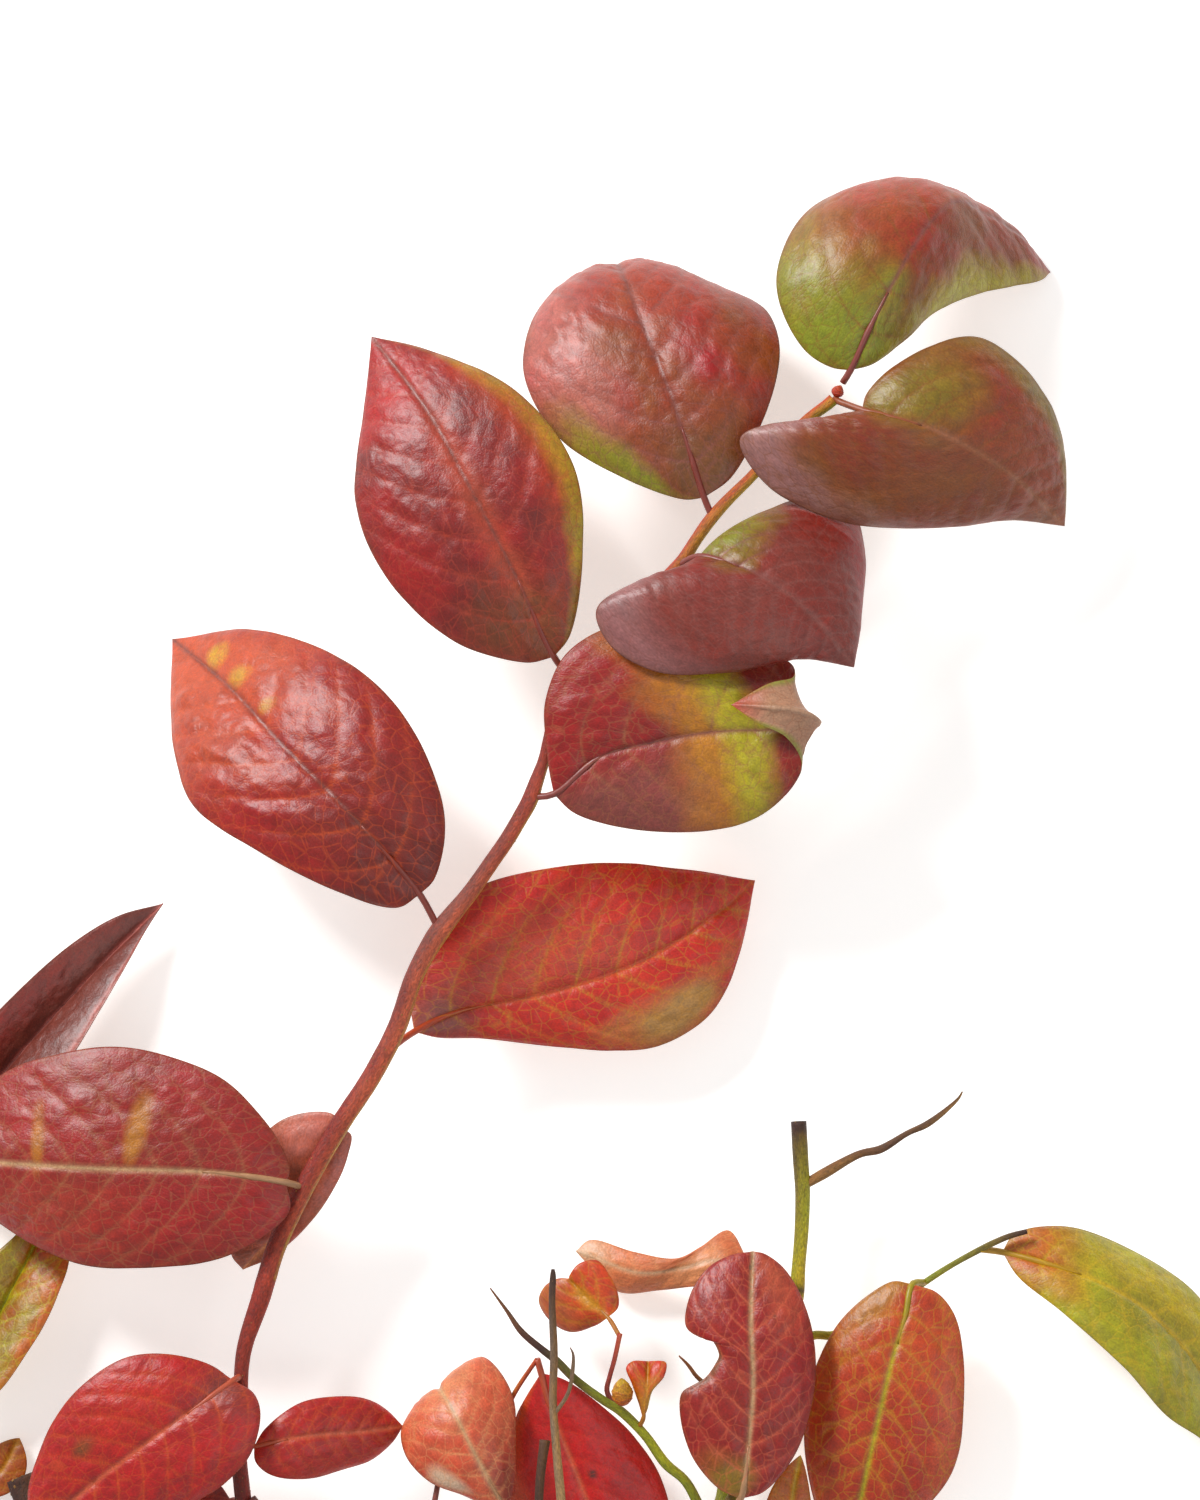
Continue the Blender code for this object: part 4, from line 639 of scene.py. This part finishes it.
def shell(name, points, faces, colours, places, bake, material):
    """A mesh piece with its tint, its place in millimetres and its bake map."""
    mesh = bpy.data.meshes.new(name + "_skin")
    mesh.from_pydata(((points + SHIFT) * MM).tolist(), [], faces)
    mesh.update()
    tints = mesh.attributes.new("tint", "FLOAT_COLOR", "POINT")
    rows = np.column_stack([np.clip(colours, 0, 1), np.ones(len(colours))])
    tints.data.foreach_set("color", rows.astype(np.float32).ravel())
    place = mesh.attributes.new("place", "FLOAT_VECTOR", "POINT")
    place.data.foreach_set("vector", np.asarray(places, np.float32).ravel())
    layer = mesh.uv_layers.new(name="OFBake")
    corners = np.zeros(len(mesh.loops), np.int32)
    mesh.loops.foreach_get("vertex_index", corners)
    layer.data.foreach_set("uv", np.asarray(bake, np.float32)[corners].ravel())
    mesh.polygons.foreach_set("use_smooth", np.ones(len(mesh.polygons), bool))
    mesh.materials.append(material)
    turn_outward(mesh)
    piece = bpy.data.objects.new(name + "_skin", mesh)
    bpy.context.scene.collection.objects.link(piece)
    return piece


def turn_outward(mesh):
    """Turn the faces of each closed shell of a mesh outward."""
    work = bmesh.new()
    work.from_mesh(mesh)
    bmesh.ops.recalc_face_normals(work, faces=work.faces)
    work.to_mesh(mesh)
    work.free()


def sheet_faces(rows, columns):
    """Faces of two grids of points, the upper first, joined along both margins."""
    count = rows * columns
    starts = [i * columns + j for i in range(rows - 1) for j in range(columns - 1)]
    quads = [(a, a + 1, a + columns + 1, a + columns) for a in starts]
    faces = [quad[::-1] for quad in quads]
    faces += [tuple(corner + count for corner in quad) for quad in quads]
    for i in range(rows - 1):
        a, b = i * columns, (i + 1) * columns
        faces.append((a, b, b + count, a + count))
        a, b = a + columns - 1, b + columns - 1
        faces.append((a, a + count, b + count, b))
    return faces


def tube_faces(rings, sides, first):
    """Faces round a tube, with a fan on the point before and the point after its rings."""
    faces = []
    last = first + 1 + rings * sides
    for k in range(sides):
        nxt = (k + 1) % sides
        faces.append((first, first + 1 + k, first + 1 + nxt))
        for i in range(rings - 1):
            a = first + 1 + i * sides
            b = a + sides
            faces.append((a + k, b + k, b + nxt, a + nxt))
        a = first + 1 + (rings - 1) * sides
        faces.append((a + k, last, a + nxt))
    return faces


def inset(share):
    """A share of the bake map's side, kept off its edges."""
    return 0.01 + 0.98 * share


def tube_map(share, angle):
    """Bake map of a tube: its length one way and its girth the other."""
    return np.stack([inset(share), inset(angle / (2 * np.pi))], -1).reshape(-1, 2)


def vein_phase(x, y, spacing):
    """Whole numbers lie on the side veins, which lean and arch toward the tip."""
    reach = np.abs(y)
    return (x - VEIN_LEAN * reach - VEIN_ARCH * reach ** 2) / spacing


def leaf_colours(look, share, over, x, y, spacing, seed):
    """Tint of each point of a leaf's upper face."""
    drift = cloud(x / PATCH, y / PATCH, seed)
    base = blend(np.broadcast_to(tint(look["main"]), share.shape + (3,)), tint(look["second"]),
                 0.45 + 0.55 * drift)
    # spots of other tints: mostly the leaf's own colour, and on some leaves painted sheen and painted
    # highlights
    for place, side, along_reach, across_reach, colour, strength in look["spots"]:
        wobble = 0.35 * cloud(x / WOBBLE + place * 31, y / WOBBLE, seed + 5)
        far = np.sqrt(((share - place) / along_reach) ** 2 + ((over - side) / across_reach) ** 2)
        base = blend(base, tint(colour), strength * np.clip(1.5 - far * 1.1 + wobble, 0, 1))
    phase = vein_phase(x, y, spacing)
    off = np.abs(phase - np.round(phase)) * spacing
    line = np.exp(-(off / VEIN_WIDTH) ** 2) * np.clip(1.1 - np.abs(over) * 0.8, 0.15, 1)
    halo = np.exp(-(off / HALO_WIDTH) ** 2) * HALO_STRENGTH
    veins = VEIN_STRENGTH * np.maximum(line, halo * (0.6 + 0.4 * drift))
    base = blend(base, tint(look["vein"]), veins)
    base = blend(base, tint(look["rib"]), RIB_STRENGTH * np.exp(-(y / RIB_WIDTH) ** 2))
    speck = 0.20 * cloud(x * 1.3, y * 1.3, seed + 9) + 0.12 * cloud(x / 2.5, y / 2.5, seed + 2)
    edge = np.exp(-((1 - np.abs(over)) / RIM_WIDTH) ** 2)
    return blend(base * (1.0 + speck)[..., None], tint("umber"), RIM_STRENGTH * edge)


def leaf_relief(puff, share, over, x, y, spacing, seed):
    """Height of the blisters, and of the furrow along the midrib, in millimetres."""
    phase = vein_phase(x, y, spacing)
    near = np.abs(phase - np.round(phase))
    ends = np.minimum(share, 1 - share)
    taper = np.clip((1 - np.abs(over)) * 4, 0, 1) * np.clip(ends * 9, 0, 1)
    pillow = np.sin(np.pi * np.clip(near * 2, 0, 1) / 2) ** 0.8
    cells = 0.65 + 0.35 * np.sin(np.pi * (y / (spacing * 0.62) + 0.3 * phase)) ** 2
    rough = 0.55 * cloud(x / 3.2, y / 2.4, seed + 4) + 0.20 * cloud(x / 1.1, y / 1.1, seed + 6)
    patchy = np.clip(0.75 + 0.6 * cloud(x / 11.0, y / 11.0, seed + 8), 0.15, 1.5)
    rise = BLISTER_RISE * puff * (0.8 * pillow * cells + rough) * patchy * taper
    furrow = FURROW_DEPTH * np.exp(-(y / FURROW_WIDTH) ** 2)
    wave = WAVE_RISE * cloud(x / WAVE_LENGTH, y / WAVE_LENGTH, seed + 1) * np.clip(ends * 5, 0, 1)
    return rise - furrow * taper + wave * np.clip(np.abs(over) * 1.5, 0, 1)


def feed(tree, socket, value):
    """Link a socket from another one, or give it a fixed value."""
    if isinstance(value, bpy.types.NodeSocket):
        tree.links.new(value, socket)
    else:
        socket.default_value = value


def node(tree, kind, output, inputs=None, **settings):
    """The named output of a new node with these settings and inputs."""
    made = tree.nodes.new(kind)
    for key, value in settings.items():
        setattr(made, key, value)
    for key, value in (inputs or {}).items():
        feed(tree, made.inputs[key], value)
    return made.outputs[output]


def ranged(tree, value, low, high, new_low, new_high):
    """A value carried from one range into another."""
    limits = {"From Min": low, "From Max": high, "To Min": new_low, "To Max": new_high}
    return node(tree, "ShaderNodeMapRange", "Result", {"Value": value, **limits})


def new_material(name):
    """A material, its node tree and its shader."""
    material = bpy.data.materials.new(name)
    material.use_nodes = True
    return material, material.node_tree, material.node_tree.nodes["Principled BSDF"]


def painted(tree):
    """The tint and the place that a piece carries at its points."""
    return (node(tree, "ShaderNodeAttribute", "Color", attribute_name="tint"),
            node(tree, "ShaderNodeAttribute", "Vector", attribute_name="place"))


def surface(tree, shader, colour, grain, dapple, gloss, height, strength, depth):
    """Colour dappled by the grain, roughness that follows it, and small dents."""
    shade = ranged(tree, grain, *dapple)
    colour = node(tree, "ShaderNodeVectorMath", "Vector", {"Vector": colour, "Scale": shade},
                  operation="SCALE")
    dents = {"Height": height, "Strength": strength, "Distance": depth}
    feed(tree, shader.inputs["Base Color"], colour)
    feed(tree, shader.inputs["Roughness"], ranged(tree, grain, 0.0, 1.0, *gloss))
    feed(tree, shader.inputs["Normal"], node(tree, "ShaderNodeBump", "Normal", dents))


def leaf_shader(name, look):
    """Waxy leaf: painted tint, fine net of veins, faint gloss."""
    material, tree, shader = new_material(name + "_leaf")
    paint, place = painted(tree)
    cells = {"Vector": place, "Scale": NET_SCALE, "Randomness": 0.9}
    net = node(tree, "ShaderNodeTexVoronoi", "Distance", cells, feature="DISTANCE_TO_EDGE")
    line = ranged(tree, net, 0.0, NET_LINE, look["net"], 0.0)
    mixed = {"Factor": line, "A": paint, "B": (*tint(look["vein"]), 1.0)}
    veins = node(tree, "ShaderNodeMix", "Result", mixed, data_type="RGBA")
    grain = node(tree, "ShaderNodeTexNoise", "Fac", {"Vector": place, "Scale": 2.4, "Detail": 6.0})
    cell = node(tree, "ShaderNodeMath", "Value", {0: net, 1: 0.3}, operation="MINIMUM")
    dent = node(tree, "ShaderNodeMath", "Value", {0: grain, 1: 0.5, 2: cell},
                operation="MULTIPLY_ADD")
    surface(tree, shader, veins, grain, (0.25, 0.75, 0.74, 1.22), (0.30, 0.56), dent, 0.5, 0.0004)
    shader.inputs["Coat Weight"].default_value = 0.12
    shader.inputs["Coat Roughness"].default_value = 0.3
    return material


def bark_shader(name, rough):
    """Bark or green skin: painted tint, dapple and small dents."""
    material, tree, shader = new_material(name + "_bark")
    paint, place = painted(tree)
    grain = node(tree, "ShaderNodeTexNoise", "Fac",
                 {"Vector": place, "Scale": 2.6, "Detail": 8.0, "Distortion": 0.6})
    surface(tree, shader, paint, grain, (0.3, 0.7, 0.55, 1.35), (0.38 + rough, 0.62 + rough),
            grain, 0.6, 0.0005)
    return material


def wart_shader():
    """Corky warts, paler and darker by a fine grain."""
    material, tree, shader = new_material("wart_cork")
    place = node(tree, "ShaderNodeTexCoord", "Object")
    grain = node(tree, "ShaderNodeTexNoise", "Fac", {"Vector": place, "Scale": 900.0})
    mixed = {"A": (*tint("umber"), 1.0), "B": (*tint("tan"), 1.0), "Factor": grain}
    cork = node(tree, "ShaderNodeMix", "Result", mixed, data_type="RGBA")
    feed(tree, shader.inputs["Base Color"], cork)
    shader.inputs["Roughness"].default_value = 0.75
    return material


def round_sections(spine, places, radii, sides):
    """Rings of points round a leaf's stalk."""
    angles = np.arange(sides) * 2 * np.pi / sides
    loops = []
    for place, radius in zip(places, radii):
        centre = read(spine.path, np.array(place))
        side = unit(read(spine.right, np.array(place)))
        high = unit(read(spine.up, np.array(place)))
        loops.append([centre + radius * (np.cos(a) * side + np.sin(a) * high) for a in angles])
    return np.array(loops)


def stalk(spine, radius, rib_tint):
    """Points, tints, places and bake map of a stalk that runs on under the midrib."""
    part = np.arange(STALK_RINGS) / (STALK_RINGS - 1)
    end = spine.start + STALK_REACH * (FINE - 1 - spine.start)
    taper = np.where(part < 0.55, 1.0, 1.0 - (part - 0.55) * 1.7)
    tube = round_sections(spine, end * part, radius * taper, STALK_SIDES)
    points = np.concatenate([tube[0].mean(0)[None], tube.reshape(-1, 3), tube[-1].mean(0)[None]])
    tints = blend(np.tile(tint(rib_tint), (len(points), 1)), tint("garnet"),
                  np.full(len(points), 0.35))
    girth = np.tile(np.arange(STALK_SIDES) * 0.3, STALK_RINGS)
    length = np.repeat(np.arange(STALK_RINGS) * 0.4, STALK_SIDES)
    places = np.stack([length, girth, np.full(len(length), 3.0)], -1)
    bake = np.stack([inset(length / length.max()), 0.012 * girth / 3.6], -1)
    return points, tints, capped(places), capped(bake)


def blade_normals(leaf, share, over, spine):
    """Upward normals of the blade, read a little inside its tips and margins."""
    safe = np.clip(share, 0.02, 0.98)
    ahead = blade(leaf, safe + 0.01, over, spine) - blade(leaf, safe - 0.01, over, spine)
    inner = over * 0.97
    aside = blade(leaf, safe, inner + 0.02, spine) - blade(leaf, safe, inner - 0.02, spine)
    return unit(np.cross(aside, ahead))


def rulers(middle):
    """Millimetres along the midrib, and away from it, at each point of a blade."""
    rows, columns = middle.shape[:2]
    centre = columns // 2
    steps = np.linalg.norm(np.diff(middle[:, centre], axis=0), axis=1)
    x = np.repeat(np.concatenate([[0.0], np.cumsum(steps)])[:, None], columns, axis=1)
    steps = np.linalg.norm(np.diff(middle, axis=1), axis=2)
    y = np.concatenate([np.zeros((rows, 1)), np.cumsum(steps, axis=1)], axis=1)
    return x, y - y[:, centre:centre + 1]


def underside(name, look, colours, share, over):
    """Paler tints of the lower face; the hooked leaf's shows a green rim and a red tip."""
    pale = blend(colours * 0.9, tint(look["under"]), np.full(share.shape, 0.55))
    if name == "leaf_hooked":
        rim = np.clip(np.abs(over) * 6 - 4.6, 0, 1)
        pale = blend(blend(pale, tint("green"), 0.7 * rim), tint("scarlet"), 8 * share - 7.2)
    return pale


def dress_leaf(name, paths, seed):
    """The skin of a leaf: two puckered faces joined at the margin, and a stalk."""
    leaf = dict(LEAVES[name])
    if name in PARENT:
        leaf["rib"] = seated(leaf["rib"], paths[PARENT[name]])
    spine = Spine(leaf["rib"])
    look = LOOKS[name]
    rows, columns, half, radius = SMALL if name in SMALL_LEAVES else LARGE
    even = np.linspace(-1, 1, columns)
    across = np.sin(even * np.pi / 2) * 0.35 + even * 0.65
    share, over = np.meshgrid(np.linspace(0.0, 1.0, rows), across, indexing="ij")
    middle = blade(leaf, share, over, spine)
    normal = blade_normals(leaf, share, over, spine)
    x, y = rulers(middle)
    spacing = max(VEINS_APART, x[-1, 0] / VEIN_PAIRS)
    rise = normal * leaf_relief(look["puff"], share, over, x, y, spacing, seed)[..., None]
    thin = half * np.clip((1 - np.abs(over)) * 12, 0.35, 1)[..., None] * normal
    colours = leaf_colours(look, share, over, x, y, spacing, seed)
    pale = underside(name, look, colours, share, over)
    flat = np.stack([x, y, np.zeros_like(x)], -1).reshape(-1, 3) + [seed * 13.0, 0, 0]
    chart = np.stack([inset(share), 0.52 + 0.23 * (over + 1)], -1).reshape(-1, 2)
    stem_points, stem_tints, stem_places, stem_bake = stalk(spine, radius, look["rib"])
    points = np.concatenate([(middle + rise + thin).reshape(-1, 3),
                             (middle + rise - thin).reshape(-1, 3), stem_points])
    tints = np.concatenate([colours.reshape(-1, 3), pale.reshape(-1, 3), stem_tints])
    places = np.concatenate([flat, flat + [0, 0, 9], stem_places])
    bake = np.concatenate([chart, chart - [0.0, 0.49], stem_bake])
    faces = sheet_faces(rows, columns) + tube_faces(STALK_RINGS, STALK_SIDES, 2 * rows * columns)
    return shell(name, points, faces, tints, places, bake, leaf_shader(name, look))


def stops(names, share):
    """Tint read from evenly spaced stops."""
    table = np.array([tint(name) for name in names.split()])
    return read(table, np.clip(share, 0, 1) * (len(table) - 1))


def limb_marks(name, base, share, run, wrap, facing):
    """The green line, the dark ring and the dark end that some limbs have."""
    if name == "main_shoot":
        line = np.exp(-((facing - 0.82) / 0.12) ** 2) * (0.6 + 0.4 * cloud(run / 7, wrap, 4))
        return blend(base, tint("lime"), 0.8 * line * (share > 0.18))
    if name == "pruned_shoot":
        ring = np.exp(-((share - 0.62) / 0.008) ** 2) + np.clip((share - 0.965) * 60, 0, 1)
        return blend(base, tint("dark"), 0.85 * ring)
    if name == "green_stem":
        return blend(base, tint("dark"), (share - 0.93) * 14)
    return base


def dress_limb(name, path, seed):
    """The skin of a limb: a ridged tube with a shady and a sunny side."""
    shady, sunny, rough = BARK[name]
    sides = STOUT_SIDES if path[:, 3].max() > STOUT else THIN_SIDES
    length = np.linalg.norm(np.diff(path[:, :3], axis=0), axis=1).sum()
    rings = int(np.clip(length / RING_STEP, *RING_COUNTS))
    _, right, up = frames(path[:, :3])
    place = np.linspace(0, len(path) - 1, rings)
    row = read(path, place)
    side, high = unit(read(right, place)), unit(read(up, place))
    run, angle = np.meshgrid(place / (len(path) - 1) * length, np.arange(sides) * 2 * np.pi / sides,
                             indexing="ij")
    outward = np.cos(angle)[..., None] * side[:, None] + np.sin(angle)[..., None] * high[:, None]
    wrap = np.abs(angle - np.pi) * row[:, 3].mean()
    ridges = cloud(run / 3.0, wrap * 1.6, seed) + 0.6 * cloud(run / 0.9, wrap * 2.2, seed + 2)
    radius = row[:, 3][:, None] * (0.985 + rough * 0.16 * ridges)
    points = row[:, None, :3] + outward * radius[..., None]
    share = run / length
    lit = 0.5 + 0.75 * outward[..., 0] + 0.35 * cloud(run / 5.0, wrap, seed + 7)
    base = blend(stops(shady, share), stops(sunny, share), lit)
    base = base * (1 + 0.22 * cloud(run / 1.4, wrap * 1.8, seed + 5))[..., None]
    base = limb_marks(name, base, share, run, wrap, outward[..., 0])
    tints = np.concatenate([base[:1].mean(1) * 0.6, base.reshape(-1, 3), base[-1:].mean(1) * 0.5])
    spots = np.stack([run * 0.5, np.cos(angle) * 2.0, np.sin(angle) * 2.0 + seed * 7], -1)
    points = np.concatenate([path[:1, :3], points.reshape(-1, 3), path[-1:, :3]])
    return shell(name, points, tube_faces(rings, sides, 0), tints, capped(spots.reshape(-1, 3)),
                 capped(tube_map(share, angle)), bark_shader(name, rough))


def dress_bud(name, seed):
    """The skin of a bud: a pointed egg of overlapping scales."""
    centre, direction, length, radius, outer, tip = BUDS[name]
    direction = unit(np.array(direction, float))
    side = unit(np.cross(direction, [0.0, 0.0, 1.0]))
    high = np.cross(side, direction)
    share, angle = np.meshgrid((np.arange(BUD_RINGS) + 0.5) / BUD_RINGS,
                               np.arange(BUD_SIDES) * 2 * np.pi / BUD_SIDES, indexing="ij")
    wide = radius * np.sin(np.pi * share ** 0.8) ** 0.7
    shift = np.floor(share * SCALE_ROWS) * 0.5
    point = np.abs((angle / (2 * np.pi) * SCALES_ROUND + shift) % 1 - 0.5)
    turns = share * SCALE_ROWS - point
    lip = turns - np.floor(turns)
    wide = wide * (0.95 + 0.09 * lip ** 3)
    outward = np.cos(angle)[..., None] * side + np.sin(angle)[..., None] * high
    points = np.array(centre) + direction * (length * share)[..., None] + outward * wide[..., None]
    base = blend(np.broadcast_to(tint(outer), share.shape + (3,)), tint(tip), share)
    base = blend(base, tint("crimson"), 0.6 * lip ** 4)
    spots = np.stack([share * length, angle * radius, np.full_like(share, seed)], -1)
    start = np.array(centre, float)[None]
    points = np.concatenate([start, points.reshape(-1, 3), start + direction * length])
    return shell(name, points, tube_faces(BUD_RINGS, BUD_SIDES, 0), capped(base.reshape(-1, 3)),
                 capped(spots.reshape(-1, 3)), capped(tube_map(share, angle)),
                 bark_shader(name, rough=0.0))


def wart_tree(material):
    """Geometry nodes that strew small flat warts over a limb, and their inputs by name."""
    tree = bpy.data.node_groups.new("Strewn warts", "GeometryNodeTree")
    sockets = {}
    for label, kind in (("Limb", "NodeSocketGeometry"), ("Density", "NodeSocketFloat"),
                        ("Width", "NodeSocketFloat"), ("Seed", "NodeSocketInt")):
        socket = tree.interface.new_socket(label, in_out="INPUT", socket_type=kind)
        sockets[label] = socket.identifier
    tree.interface.new_socket("Warts", in_out="OUTPUT", socket_type="NodeSocketGeometry")
    given = tree.nodes.new("NodeGroupInput").outputs
    spread = tree.nodes.new("GeometryNodeDistributePointsOnFaces")
    feed(tree, spread.inputs["Mesh"], given["Limb"])
    feed(tree, spread.inputs["Density"], given["Density"])
    feed(tree, spread.inputs["Seed"], given["Seed"])
    ball = node(tree, "GeometryNodeMeshIcoSphere", "Mesh", {"Radius": 1.0, "Subdivisions": 2})
    chance = node(tree, "FunctionNodeRandomValue", 1, {2: 0.45, 3: 1.0, "Seed": given["Seed"]},
                  data_type="FLOAT")
    wide = node(tree, "ShaderNodeMath", "Value", {0: chance, 1: given["Width"]},
                operation="MULTIPLY")
    flat = node(tree, "ShaderNodeVectorMath", "Vector", {0: WART_SHAPE, "Scale": wide},
                operation="SCALE")
    strewn = {"Points": spread.outputs["Points"], "Instance": ball,
              "Rotation": spread.outputs["Rotation"], "Scale": flat}
    put = node(tree, "GeometryNodeInstanceOnPoints", "Instances", strewn)
    real = node(tree, "GeometryNodeRealizeInstances", "Geometry", {"Geometry": put})
    coated = node(tree, "GeometryNodeSetMaterial", "Geometry",
                  {"Geometry": real, "Material": material})
    feed(tree, tree.nodes.new("NodeGroupOutput").inputs["Warts"], coated)
    return tree, sockets


def strew_warts(name, limb, seed, tree, sockets):
    """Warts of one limb, as a piece of their own."""
    density, width = WARTS[name]
    carrier = bpy.data.objects.new("carrier", limb.data)
    bpy.context.scene.collection.objects.link(carrier)
    modifier = carrier.modifiers.new("warts", "NODES")
    modifier.node_group = tree
    modifier[sockets["Density"]] = density
    modifier[sockets["Width"]] = width
    modifier[sockets["Seed"]] = seed
    graph = bpy.context.evaluated_depsgraph_get()
    mesh = bpy.data.meshes.new_from_object(carrier.evaluated_get(graph))
    carrier.modifiers.remove(modifier)
    bpy.data.objects.remove(carrier)
    mesh.name = name + "_warts"
    piece = bpy.data.objects.new(name + "_warts", mesh)
    bpy.context.scene.collection.objects.link(piece)
    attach(piece, "root")


def pale_surface():
    """The surface that the branch lies on."""
    bpy.ops.mesh.primitive_plane_add(size=FLOOR)
    floor = bpy.context.object
    floor.name = "floor"
    material, _, shader = new_material("pale_board")
    shader.inputs["Base Color"].default_value = (0.92, 0.91, 0.90, 1.0)
    shader.inputs["Roughness"].default_value = 0.9
    shader.inputs["Specular IOR Level"].default_value = 0.1
    shader.inputs["Emission Color"].default_value = (1.0, 1.0, 1.0, 1.0)
    shader.inputs["Emission Strength"].default_value = 0.42
    floor.data.materials.append(material)


def lamp(name, place, power, size):
    """A soft square lamp that faces the middle of the picture."""
    light = bpy.data.lights.new(name, "AREA")
    light.energy = power
    light.size = size
    thing = bpy.data.objects.new(name, light)
    thing.location = place
    toward = Vector(PICTURE_MIDDLE) - Vector(place)
    thing.rotation_euler = toward.to_track_quat("-Z", "Y").to_euler()
    thing.visible_camera = False
    bpy.context.scene.collection.objects.link(thing)


def lights():
    """Even daylight, a window to the upper left and a weak fill."""
    world = bpy.data.worlds.new("daylight")
    world.use_nodes = True
    sky = world.node_tree.nodes["Background"]
    sky.inputs["Color"].default_value = (1.0, 0.99, 0.98, 1.0)
    sky.inputs["Strength"].default_value = 0.55
    bpy.context.scene.world = world
    lamp("window", place=(-1.3, 1.5, 1.5), power=62.0, size=0.6)
    lamp("fill", place=(1.4, -0.8, 2.2), power=9.0, size=1.4)


def camera():
    """The camera above the middle of the picture, looking straight down."""
    data = bpy.data.cameras.new("camera")
    data.sensor_fit = "VERTICAL"
    data.angle = 2 * math.atan(PICTURE_HEIGHT / 2 / (CAMERA_HEIGHT - PICTURE_LEVEL))
    data.clip_start = 0.1
    data.clip_end = 50.0
    thing = bpy.data.objects.new("camera", data)
    thing.location = (PICTURE_MIDDLE[0], PICTURE_MIDDLE[1], CAMERA_HEIGHT)
    bpy.context.scene.collection.objects.link(thing)
    bpy.context.scene.camera = thing


def tones():
    """How far light is followed, and plain tones."""
    bpy.context.scene.cycles.max_bounces = 5
    bpy.context.scene.view_settings.view_transform = "Standard"


def dress(piece, name):
    """Put a skin in the place of its solid."""
    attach(piece, "root")
    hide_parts(name)


def main():
    """Dress every limb, leaf and bud of the frame, and set the stage."""
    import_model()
    paths = {}
    tree, sockets = wart_tree(wart_shader())
    for seed, (name, rows) in enumerate(LIMBS.items()):
        if name in PARENT:
            rows = seated(rows, paths[PARENT[name]])
        paths[name] = smooth_path(rows, FINE)
        limb = dress_limb(name, paths[name], seed + 40)
        dress(limb, name)
        if name in WARTS:
            strew_warts(name, limb, seed, tree, sockets)
    for seed, name in enumerate(LEAVES):
        dress(dress_leaf(name, paths, seed + 1), name)
    for seed, name in enumerate(BUDS):
        dress(dress_bud(name, seed + 80), name)
    pale_surface()
    lights()
    camera()
    tones()
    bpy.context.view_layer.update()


main()
